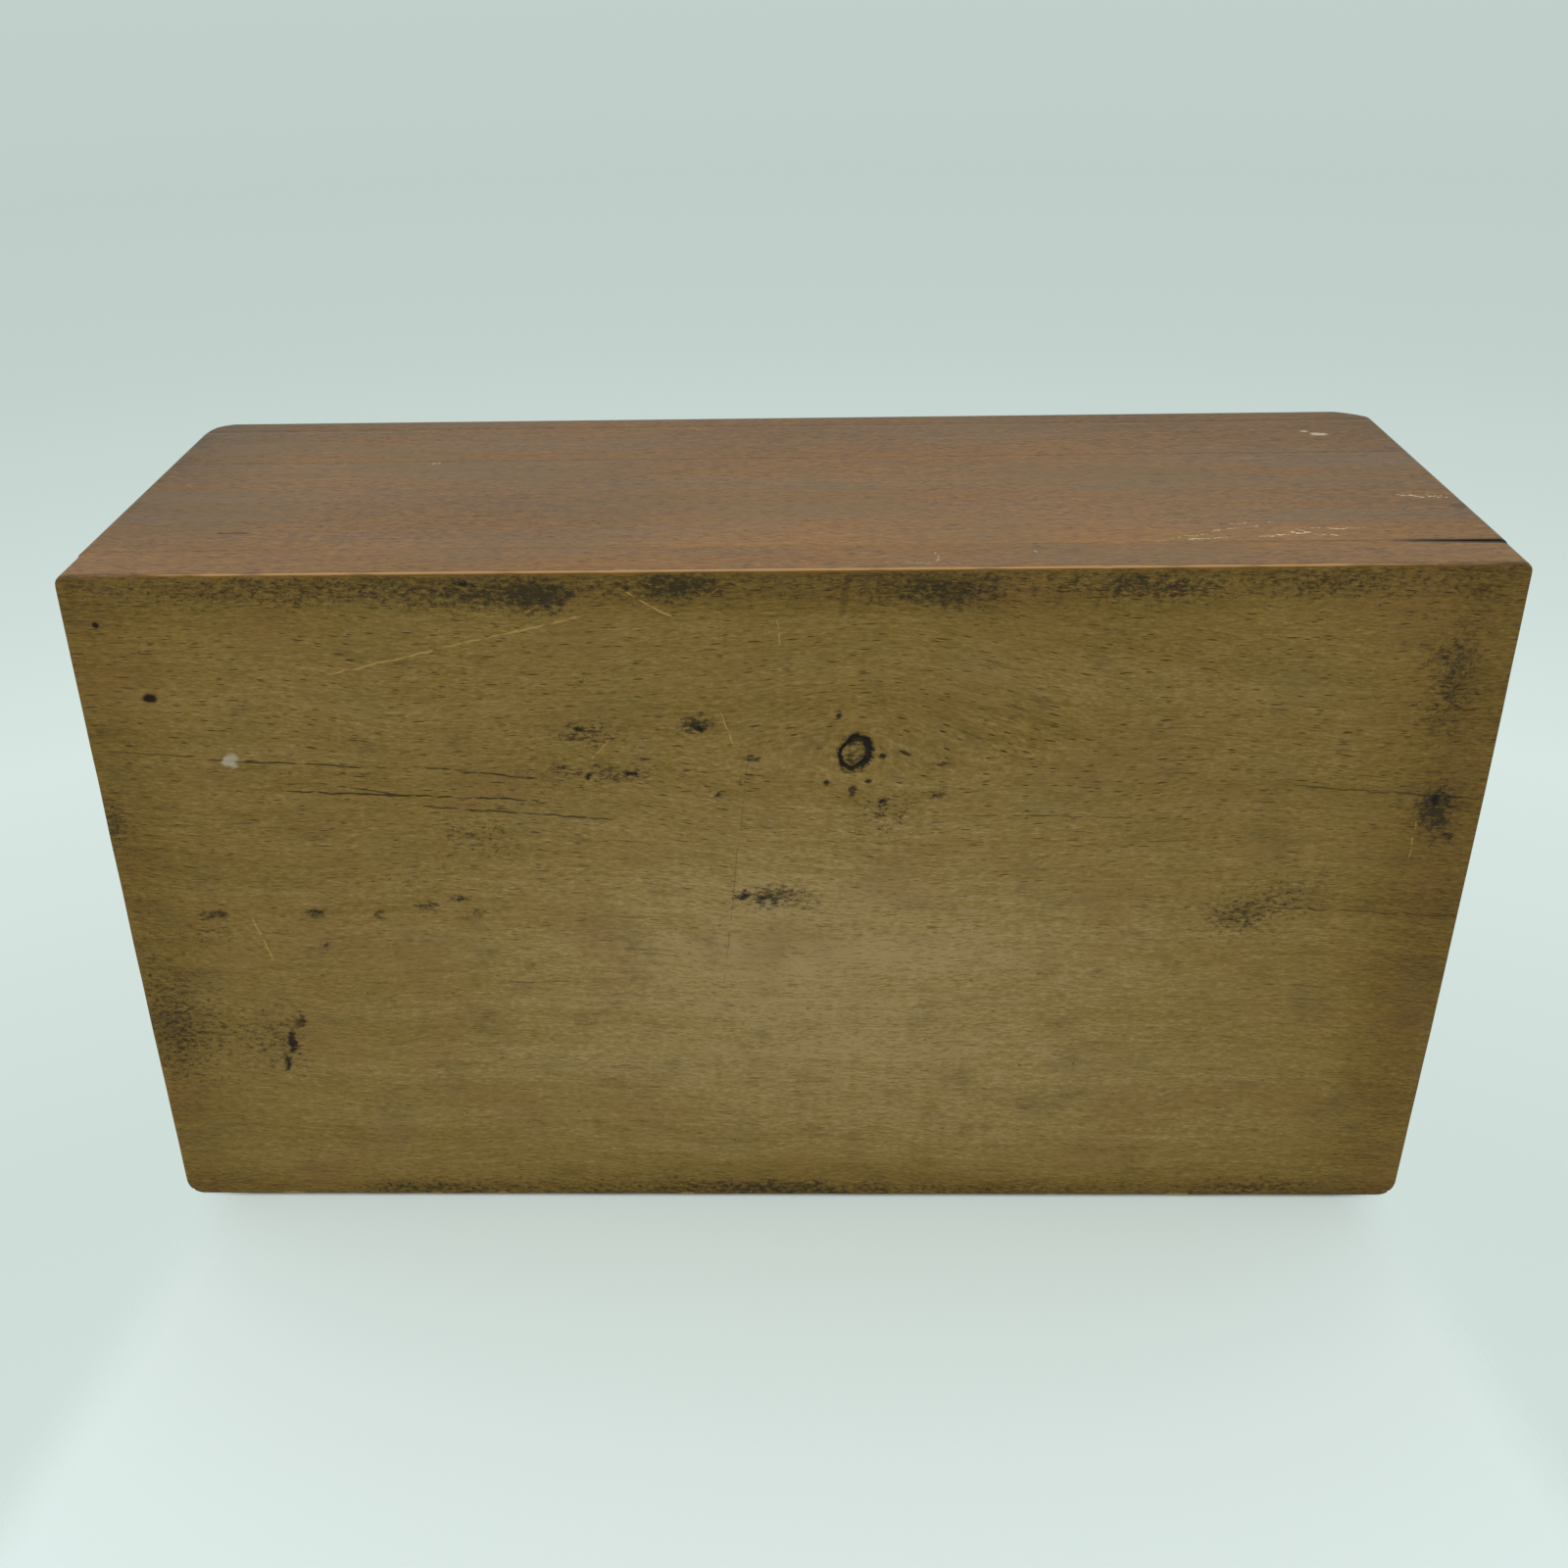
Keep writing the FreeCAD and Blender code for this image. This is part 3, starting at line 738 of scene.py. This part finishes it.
inner_finish = {
    "base_dowels": dowel_upright,
    "corner_blocks": inner_upright,
    "pivot_block": inner_upright,
    "strike_block": inner_upright,
    "pivot_dowel": dowel_upright,
    "pivot_washer": brass,
    "pivot_peg": dowel_cross,
    "lid_underpanel": inner_long,
    "lid_deck": inner_long,
    "lid_pivot_block": inner_long,
    "lid_lock_block": inner_long,
    "lid_corner_blocks": inner_upright,
    "panel_pins": brass,
    "runner_front": inner_long,
    "runner_back": inner_long,
    "runner_screws": brass,
    "lock_pin": dowel_upright,
    "lock_pin_head": dowel_upright,
}
for node_name, finish in inner_finish.items():
    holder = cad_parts[node_name]
    holder.data.materials.clear()
    holder.data.materials.append(finish)
print("inner pieces finished:", len(inner_finish))

# %% [markdown]
# ## The base board
# One plank with rounded corners and worn edges. A plain box mesh has too few points to wear down, so this
# one is a net of points over the six faces, fine at the edges and round the knot. Every edge is rounded by
# pulling the points onto a rolling ball, whose size wanders along the lower edges, and the corners are
# rounded in plan.

# %% Net of points


def cut_lines(low, high, step, close=()):
    """Places of the net's lines along one axis in mm: close together at both ends, where the edge rounds."""
    edge = np.array([0, 0.12, 0.28, 0.5, 0.8, 1.2, 1.8, 2.6, 3.6])
    margin = 4.6
    count = max(2, int((high - low - 2 * margin) / step) + 1)
    middle = np.linspace(low + margin, high - margin, count)
    if high - low < 10:
        edge = edge[edge < (high - low) * 0.45]
        middle = np.array([(low + high) / 2])
    lines = np.unique(np.round(np.concatenate([low + edge, middle, high - edge, np.array(close)]), 3))
    kept = [lines[0]]
    closest = 0.07
    for line in lines[1:-1]:
        if line - kept[-1] > closest and high - line > closest:
            kept.append(line)
    return np.array(kept + [lines[-1]])


def net_box(xs, ys, zs):
    """Points and quads of a closed box with those lines on its faces."""
    counts = (len(xs), len(ys), len(zs))
    number = {}
    points = []
    quads = []

    def point(i, j, k):
        key = (i, j, k)
        if key not in number:
            number[key] = len(points)
            points.append((xs[i], ys[j], zs[k]))
        return number[key]

    for axis in range(3):
        first, second = [other for other in range(3) if other != axis]
        for side in (0, counts[axis] - 1):
            for a in range(counts[first] - 1):
                for b in range(counts[second] - 1):
                    ring = []
                    for step_a, step_b in ((0, 0), (1, 0), (1, 1), (0, 1)):
                        index = [0, 0, 0]
                        index[axis] = side
                        index[first] = a + step_a
                        index[second] = b + step_b
                        ring.append(point(*index))
                    outward = (side > 0) == (axis != 1)
                    quads.append(ring if outward else ring[::-1])
    return np.array(points, dtype=float), quads


def wander(points, size, seed=0.0):
    """Smooth noise from -1 to 1 at each point, with features of about that size in mm."""
    return np.array([noise.noise(Vector(point) / size + Vector((seed, seed, seed))) for point in points])


def ease_edges(points, low, high, radius):
    """Rounds all the edges of a box. The radius may differ from point to point."""
    radius = np.broadcast_to(np.asarray(radius, dtype=float), (len(points),))[:, None]
    inner = np.clip(points, np.array(low) + radius, np.array(high) - radius)
    offset = points - inner
    length = np.linalg.norm(offset, axis=1, keepdims=True)
    return np.where(length > 1e-9, inner + offset / np.maximum(length, 1e-9) * radius, points)


def round_corner(points, corner, radius):
    """Rounds one upright corner in plan: the square at the corner becomes a quarter circle."""
    turned_in = np.array(corner) - np.sign(corner) * radius
    offset = points[:, :2] - turned_in
    inside = (offset * np.sign(corner) > 0).all(axis=1)
    length = np.linalg.norm(offset, axis=1)
    scale = np.where(inside, np.abs(offset).max(axis=1) / np.maximum(length, 1e-9), 1.0)
    points[:, :2] = turned_in + offset * scale[:, None]
    return points


def make_piece(name, points, faces, material, body, slot_name, paint, *nodes):
    """Makes a piece from points in mm, paints values on its points and lets it stand for CAD nodes."""
    mesh = bpy.data.meshes.new(name)
    mesh.from_pydata([tuple(point) for point in points * MM], [], faces)
    for title, values in paint.items():
        layer = mesh.attributes.new(title, "FLOAT", "POINT")
        layer.data.foreach_set("value", np.asarray(values, dtype=np.float32))
    mesh.materials.append(material)
    mesh.polygons.foreach_set("use_smooth", [True] * len(mesh.polygons))
    piece = bpy.data.objects.new(name, mesh)
    scene.collection.objects.link(piece)
    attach(piece, body)
    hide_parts(*nodes)
    print(name, "faces:", len(mesh.polygons))
    return piece


print("net recipe ready")

# %% [markdown]
# ### Shape of the plank
# The net is laid over the CAD board's box, with closer lines round the knot. The lower edges are worn rounder
# towards the front, the upright corners are rounder there too, and one end is slightly askew.

# %% Base board shape
base_low = np.array(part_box("base_board")[0]) / MM
base_high = np.array(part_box("base_board")[1]) / MM
knot_centre = np.array([-9.9, 27.0])
knot_lines = np.arange(-4.5, 4.51, 0.3)
box_half_length = 100
box_half_width = 55
wall_thickness = 9
plank_middle = 4.5
end_skew = 0.7
points, base_faces = net_box(
    cut_lines(base_low[0], base_high[0], 1.15, knot_centre[0] + knot_lines),
    cut_lines(base_low[1], base_high[1], 1.15, knot_centre[1] + knot_lines),
    cut_lines(base_low[2], base_high[2], 1.0, (4.0, 6.0)),
)
flat_points = points.copy()
x, y, z = flat_points.T
lower = z < plank_middle
bottom = np.clip(1 - z / 0.6, 0, 1)
edge_radius = np.where(lower, 0.23 + 0.12 * wander(points, 9.0), 0.04)
edge_radius = np.where(lower, edge_radius + 0.7 * np.clip((-15 - y) / 38, 0, 1), edge_radius)
points = ease_edges(points, base_low, base_high, np.clip(edge_radius, 0.04, 1.6))
corner_radii = [(1, 1, 1.6), (-1, 1, 1.5), (1, -1, 2.8), (-1, -1, 2.8)]
for side_x, side_y, radius in corner_radii:
    points = round_corner(points, (side_x * box_half_length, side_y * box_half_width), radius)
points[:, 0] += end_skew * np.clip((20 - y) / 75, 0, 1) * np.clip((-90 - x) / 10, 0, 1)
print("base points:", len(points))

# %% [markdown]
# ### Knot, opened seam and dents
# The knot has shrunk away from the wood round it, so its ring is a real groove. At one end the base has come
# away from the back wall: the top of the plank drops by up to a millimetre there and leaves a wedge-shaped
# gap.
# The inside of that gap is painted dark as shade.

# %% Knot and seam
tilt = math.radians(24)
knot_radii = (2.1, 2.65)
groove_depth = 0.55
wedge_drop = 1.0
dent_depth = 0.5
knot_x = (x - knot_centre[0]) * math.cos(tilt) + (y - knot_centre[1]) * math.sin(tilt)
knot_y = -(x - knot_centre[0]) * math.sin(tilt) + (y - knot_centre[1]) * math.cos(tilt)
knot_ring = np.hypot(knot_x / knot_radii[0], knot_y / knot_radii[1])
knot_ring += 0.1 * wander(flat_points, 1.4, 6.0)
towards_back = np.clip(0.5 + 0.2 * ((knot_centre[0] - x) * 0.8 + (y - knot_centre[1]) * 0.35), 0, 1)
ring_width = 0.1 + 0.17 * towards_back
groove = np.exp(-(((knot_ring - 0.92) / ring_width) ** 2)) * bottom
points[:, 2] += groove * groove_depth
knot_halo = np.exp(-(((knot_ring - 1.08) / 0.3) ** 2)) * bottom * (0.55 + 0.45 * towards_back)
seam_open = np.clip((-86 - x) / 14, 0, 1) * np.clip((y - 44) / 6, 0, 1) * (z > plank_middle)
points[:, 2] -= wedge_drop * seam_open * np.clip((z - plank_middle) / 4.0, 0, 1)
near_long_edge = np.clip(1 - (base_high[1] - np.abs(y)) / 1.6, 0, 1)
dents = np.clip(wander(points, 3.2, 5.0) - 0.45, 0, 1) * near_long_edge * lower
points[:, 1] -= np.sign(y) * dents * dent_depth
print("deepest groove mm:", round(float(groove.max() * groove_depth), 2))

# %% [markdown]
# ### Stains on the base
# Each stain is a soft oval: where it lies, how far it reaches both ways and how strong it is. Mould sits
# along the long edges, at both ends and in faint patches between, soot is the nearly black spots, and tone
# makes the wood lighter over the middle towards the front side and darker at the ends and the long edges.

# %% Stains


def ovals(entries, uneven):
    """The sum of soft ovals, each x, y, reach along x, reach along y, strength."""
    total = np.zeros(len(flat_points))
    for centre_x, centre_y, reach_x, reach_y, strength in entries:
        far = ((x + uneven - centre_x) / reach_x) ** 2 + ((y + uneven * 0.6 - centre_y) / reach_y) ** 2
        total += strength * np.exp(-far)
    return total * bottom


uneven = 1.6 * wander(flat_points, 5.0, 2.0)
mould_places = [
    (41, 51, 13, 3.0, 0.3),
    (33, 51, 4, 2.0, 0.34),
    (14.5, 52.5, 5, 2.2, 0.42),
    (-22, 51, 9, 2.8, 0.36),
    (-49, 51.5, 9, 2.6, 0.3),
    (-75, 52, 12, 3.2, 0.22),
    (72, 52, 20, 2.6, 0.2),
    (0, 53.0, 180, 3.6, 0.3),
    (99, 16, 3.6, 5, 0.5),
    (95, -20, 9, 14, 0.34),
    (82, -22, 9, 12, 0.2),
    (-76, 4, 12, 6, 0.3),
    (-67, -2, 7, 4, 0.26),
    (-92.5, 38, 4.5, 11, 0.5),
    (89.5, 43.6, 1.2, 1.4, 0.45),
    (-94, 17, 3.4, 5, 0.7),
    (46, 13.5, 8, 4, 0.36),
    (38, 22, 10, 6, 0.2),
    (57, 6, 16, 4, 0.2),
    (88, -3, 9, 3, 0.24),
    (28.7, 38.8, 2.5, 1.8, 0.4),
    (13, 32, 4, 2, 0.16),
    (29, 30.5, 5, 2.4, 0.34),
    (13, 32, 3, 1.6, 0.4),
    (24, 24, 8, 1.5, 0.34),
    (10, 20.6, 4, 1.2, 0.3),
    (-15, 17, 7, 6, 0.36),
    (20, 28, 16, 7, 0.16),
    (-42.5, 22.5, 4, 1.0, 0.2),
    (-48, 19, 4, 0.9, 0.2),
    (-67, 0, 9, 3, 0.18),
    (-44, -3.8, 4, 1, 0.2),
    (1.6, 3.1, 7.0, 2.6, 0.6),
    (0, -53.5, 95, 2.2, 0.42),
    (2, -53, 12, 1.8, 0.16),
    (97.5, -22, 4, 20, 0.16),
    (60, -53, 10, 1.6, 0.25),
    (-78, -52.5, 12, 2.0, 0.25),
    (79, -24, 5, 7, 0.2),
]
soot_places = [
    (6.9, 3.5, 1.3, 0.8, 0.9),
    (3, 2.6, 3.2, 0.7, 0.5),
    (76.2, -19.6, 0.75, 1.6, 1.0),
    (77.7, -23.6, 0.75, 2.3, 1.0),
    (79.5, -27.6, 0.7, 1.8, 0.8),
    (43.5, 53.2, 1.9, 0.8, 0.6),
    (22, 53, 2.4, 0.7, 0.5),
    (87.9, 0, 1.7, 1.1, 0.52),
    (85.3, 0.2, 1.4, 1.1, 0.58),
    (71.0, 0.5, 2.1, 1.3, 0.6),
    (61.3, 0.1, 1.6, 1.1, 0.56),
    (54.1, 1.6, 2.8, 1.3, 0.52),
    (48.9, 3.1, 1.8, 0.9, 0.62),
    (46.6, 0.4, 2.2, 1.1, 0.48),
    (70.3, -5.8, 1.6, 0.9, 0.6),
    (59.9, -4.9, 0.9, 0.6, 0.5),
    (44.0, -11.1, 0.8, 0.6, 0.5),
    (38.7, -9.3, 1.6, 0.7, 0.65),
    (70.5, -19.3, 1.2, 0.7, 0.4),
    (18.8, -10.8, 1.2, 0.4, 0.5),
    (-5.9, 22.2, 0.6, 0.6, 0.8),
    (-9.6, 21.0, 0.9, 1.0, 0.8),
    (-11.8, 22.5, 0.7, 0.6, 0.7),
    (-14.0, 26.5, 0.9, 0.6, 0.6),
    (-14.3, 18.8, 1.1, 0.8, 0.7),
    (-16.7, 16.1, 1.0, 0.8, 0.6),
    (-13.1, 17.1, 1.6, 0.6, 0.5),
    (-22.1, 20.4, 1.3, 0.6, 0.7),
    (-22.8, 25.4, 1.3, 0.5, 0.5),
    (-7.9, 32.9, 0.6, 0.5, 0.6),
    (9.7, 20.7, 1.2, 0.7, 0.6),
    (4.8, 26.4, 1.5, 0.7, 0.6),
    (6.4, 22.2, 1.0, 0.8, 0.5),
    (32.2, 25.1, 0.9, 0.6, 0.7),
    (28.5, 23.4, 0.9, 0.7, 0.6),
    (21.7, 24.0, 2.0, 0.6, 0.55),
    (29.5, 31.2, 0.8, 0.7, 0.7),
    (12.6, 31.1, 2.0, 1.2, 0.5),
    (-93.5, 19, 1.2, 1.6, 0.7),
    (-96, 13, 1.0, 1.4, 0.65),
]
tone_places = [
    (0, -12, 62, 26, 0.26),
    (-12, -4, 40, 22, 0.12),
    (20, -36, 70, 12, 0.1),
    (-50, -30, 45, 18, 0.08),
    (78, 34, 26, 16, 0.02),
    (-96, 0, 10, 70, -0.3),
    (98, 0, 9, 70, -0.2),
    (0, 55, 160, 6, -0.3),
    (0, -56, 160, 5, -0.3),
]
mould_paint = ovals(mould_places, uneven)
soot_paint = np.clip(ovals(soot_places, uneven * 0.25) + groove, 0, 1)
mould_paint += knot_halo * 0.7 + 1.2 * np.clip(1.0 - knot_ring, 0, 0.35) * bottom
tone_paint = 0.5 + ovals(tone_places, uneven)
from_back = base_high[1] - y
back_arris = 0.5 * np.exp(-((z / 0.22) ** 2)) * (y > 54.5) + 0.5 * np.exp(-((from_back / 0.35) ** 2)) * bottom
back_arris = np.maximum(back_arris, 0.5 * np.exp(-((from_back / 0.9) ** 2)) * bottom)
end_fade = 1 - 0.45 * np.clip((np.abs(x) - 65) / 25, 0, 1)
worn_paint = np.clip(back_arris * end_fade * (0.9 + 0.5 * wander(flat_points, 5.0, 8.0)), 0, 1)
# Painted shade: the top of the plank inside the opened seam is painted dark, as the shade in that gap.
wedge_shade_on_base = np.clip((-83 - x) / 3, 0, 1) * (y > 40) * (z > 8.3)
above_knot = y - knot_centre[1]
near_knot = np.exp(-(((x - knot_centre[0]) / 28) ** 2) - (above_knot / 28) ** 2)
base_paints = {
    "mould": mould_paint,
    "soot": soot_paint,
    "tone": tone_paint,
    "worn": worn_paint,
    "grime_and_shade": wedge_shade_on_base,
    "bend": -4.5 * np.tanh(above_knot / 6) * near_knot,
    "flecked": 0.6 + 0.6 * np.clip((y + 10) / 35, 0, 1),
}
base_piece = make_piece(
    "base_plank",
    points,
    base_faces,
    bare_wood,
    "body",
    "bare_wood",
    base_paints,
    "base_board",
)
base_piece.data.materials.append(varnish_marked)
base_piece.data.materials.append(inner_long)
underside = (z < 0.001) & (from_back > 0.2)
base_inside = (91.5, 46.5)
indoors = (z > base_high[2] - 0.001) & (np.abs(x) < base_inside[0]) & (np.abs(y) < base_inside[1])
bare_slot = 0
varnish_slot = 1
inner_slot = 2
finishes = []
for face in base_faces:
    if underside[face].all():
        finishes.append(bare_slot)
    elif indoors[face].all():
        finishes.append(inner_slot)
    else:
        finishes.append(varnish_slot)
base_piece.data.polygons.foreach_set("material_index", finishes)
print("varnished faces of the base:", finishes.count(varnish_slot))

# %% [markdown]
# ## Walls, rails and top board
# These have grooves, steps and holes for their neighbours, so they start as copies of the CAD shapes. The
# copies are cleaned to flat faces, their sharp edges are beveled a little, and then cut by planes into
# strips, which gives them enough points to paint wear along the edges. The inside is taken to be bare, so the
# faces that look into the box get the wood of the inner pieces.

# %% Copy, bevel and cut


def worn_copy(node_name, bevel, cuts):
    """Points and faces of a CAD node's shape with eased edges and extra cuts, in mm."""
    work = bmesh.new()
    work.from_mesh(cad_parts[node_name].data)
    bmesh.ops.scale(work, vec=(1000, 1000, 1000), verts=work.verts)
    bmesh.ops.remove_doubles(work, verts=work.verts, dist=0.002)
    bmesh.ops.dissolve_limit(work, angle_limit=math.radians(1), verts=work.verts, edges=work.edges)
    sharp_angle = math.radians(40)
    folded = [edge for edge in work.edges if len(edge.link_faces) == 2]
    bmesh.ops.bevel(
        work,
        geom=[edge for edge in folded if edge.calc_face_angle(0) > sharp_angle],
        offset=bevel,
        offset_type="OFFSET",
        segments=2,
        profile=0.5,
        affect="EDGES",
        clamp_overlap=True,
    )
    for axis, lines in enumerate(cuts):
        normal = [0, 0, 0]
        normal[axis] = 1
        for line in lines:
            centre = [0, 0, 0]
            centre[axis] = line
            everything = work.verts[:] + work.edges[:] + work.faces[:]
            bmesh.ops.bisect_plane(work, geom=everything, plane_co=centre, plane_no=normal, dist=0.0005)
    bmesh.ops.triangulate(work, faces=[face for face in work.faces if len(face.verts) > 4])
    points = np.array([vert.co[:] for vert in work.verts])
    faces = [[vert.index for vert in face.verts] for face in work.faces]
    work.free()
    return points, faces


def edge_cuts(low, high, step):
    """Cut places along one axis: near both ends, and evenly between."""
    near = np.array([0.7, 1.3, 2.4, 4.2])
    middle = np.arange(low + near[-1] + step, high - near[-1], step)
    return np.concatenate([low + near, middle, high - near])


def outer_paint(points, seams):
    """Wear near the box's outer edges and the given seam levels, with tone, joint grime and painted shade in
    the open seam.
    """
    x, y, z = points.T
    worn = np.zeros(len(points))
    for level, strength, reach in seams:
        worn += strength * np.exp(-np.abs(z - level) / reach)
    from_end = np.minimum(box_half_length - np.abs(x), wall_thickness)
    corner = from_end + np.minimum(box_half_width - np.abs(y), wall_thickness)
    worn += 0.6 * np.exp(-corner / 0.9)
    # The tone is lighter low on the box and along the middle of its length, and darker high up and at the
    # ends.
    tone_by_place = 0.5 + 0.18 * wander(points, 40.0, 3.0) - 0.25 * np.clip((np.abs(x) - 55) / 45, 0, 1) ** 2
    tone_by_place += 0.2 * np.clip((26 - z) / 26, 0, 1) - 0.16 * np.clip((z - 40) / 30, 0, 1)
    grime_and_shade = np.exp(-np.abs(z - 9) / 0.25) * np.where(x > 60, 0.12, np.where(x < -60, 0.35, 0))
    # Painted shade: the wall's underside over the opened seam is painted dark, as the shade in that gap.
    wedge_shade = np.clip((-83 - x) / 3, 0, 1) * np.exp(-np.maximum(z - 9.05, 0) / 0.12) * (z < 9.6)
    worn = np.clip(worn * (0.8 + 0.4 * wander(points, 6.0, 4.0)), 0, 1)
    return {"worn": worn, "tone": tone_by_place, "grime_and_shade": np.maximum(grime_and_shade, wedge_shade)}


wall_rim = [(50, 0.3, 0.4)]
lid_rim = [(50.2, 0.42, 0.3)]
top_rim = [(74, 0.3, 0.6)]
wall_bevel = 0.045
rail_bevel = 0.06
top_bevel = 0.12
seam_fill_over = 0.11
seam_fill_under = 0.13
top_end_round = 2.4
top_underside = 68.1
wall_inside = (91.3, 46.3)
cut_step = 4.0
outer_boards = {
    "front_wall": (varnish_long, "body", wall_rim, wall_bevel),
    "back_wall": (varnish_marked, "body", wall_rim, wall_bevel),
    "left_end_wall": (varnish_end, "body", wall_rim, wall_bevel),
    "right_end_wall": (varnish_end, "body", wall_rim, wall_bevel),
    "lid_front_rail": (varnish_long, "lid", lid_rim, rail_bevel),
    "lid_back_rail": (varnish_marked, "lid", lid_rim, rail_bevel),
    "lid_left_rail": (varnish_end, "lid", lid_rim, rail_bevel),
    "lid_right_rail": (varnish_end, "lid", lid_rim, rail_bevel),
    "top_board": (varnish_marked, "top", top_rim, top_bevel),
}
for node_name, (finish, body, seams, bevel) in outer_boards.items():
    low = np.array(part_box(node_name)[0]) / MM
    high = np.array(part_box(node_name)[1]) / MM
    cuts = [edge_cuts(low[axis], high[axis], cut_step) for axis in range(3)]
    if node_name == "top_board":
        cuts[2] = np.array([70.0, 72.0])
    points, faces = worn_copy(node_name, bevel, cuts)
    if body == "lid":
        middle = np.clip((75 - np.abs(points[:, 0])) / 25, 0, 1)
        points[:, 2] += seam_fill_over * middle * (points[:, 2] > high[2] - 0.3)
        points[:, 2] -= seam_fill_under * (points[:, 2] < low[2] + 0.3) * (low[2] < 50.5)
    if node_name == "top_board":
        rounded = np.clip((points[:, 2] - 68.2) / 5.8, 0, 1) ** 2
        points[:, 0] -= top_end_round * rounded * np.clip((points[:, 0] - 90) / 10, 0, 1)
    paint = outer_paint(points, seams)
    piece = make_piece(node_name + "_worn", points, faces, finish, body, "varnished_wood", paint, node_name)
    piece.data.materials.append(inner_cross if finish == varnish_end else inner_long)
    centres = np.array([points[face].mean(axis=0) for face in faces])
    indoors = (np.abs(centres[:, 0]) < wall_inside[0]) & (np.abs(centres[:, 1]) < wall_inside[1])
    if node_name == "top_board":
        indoors = centres[:, 2] < top_underside
    piece.data.polygons.foreach_set("material_index", indoors.astype(int))
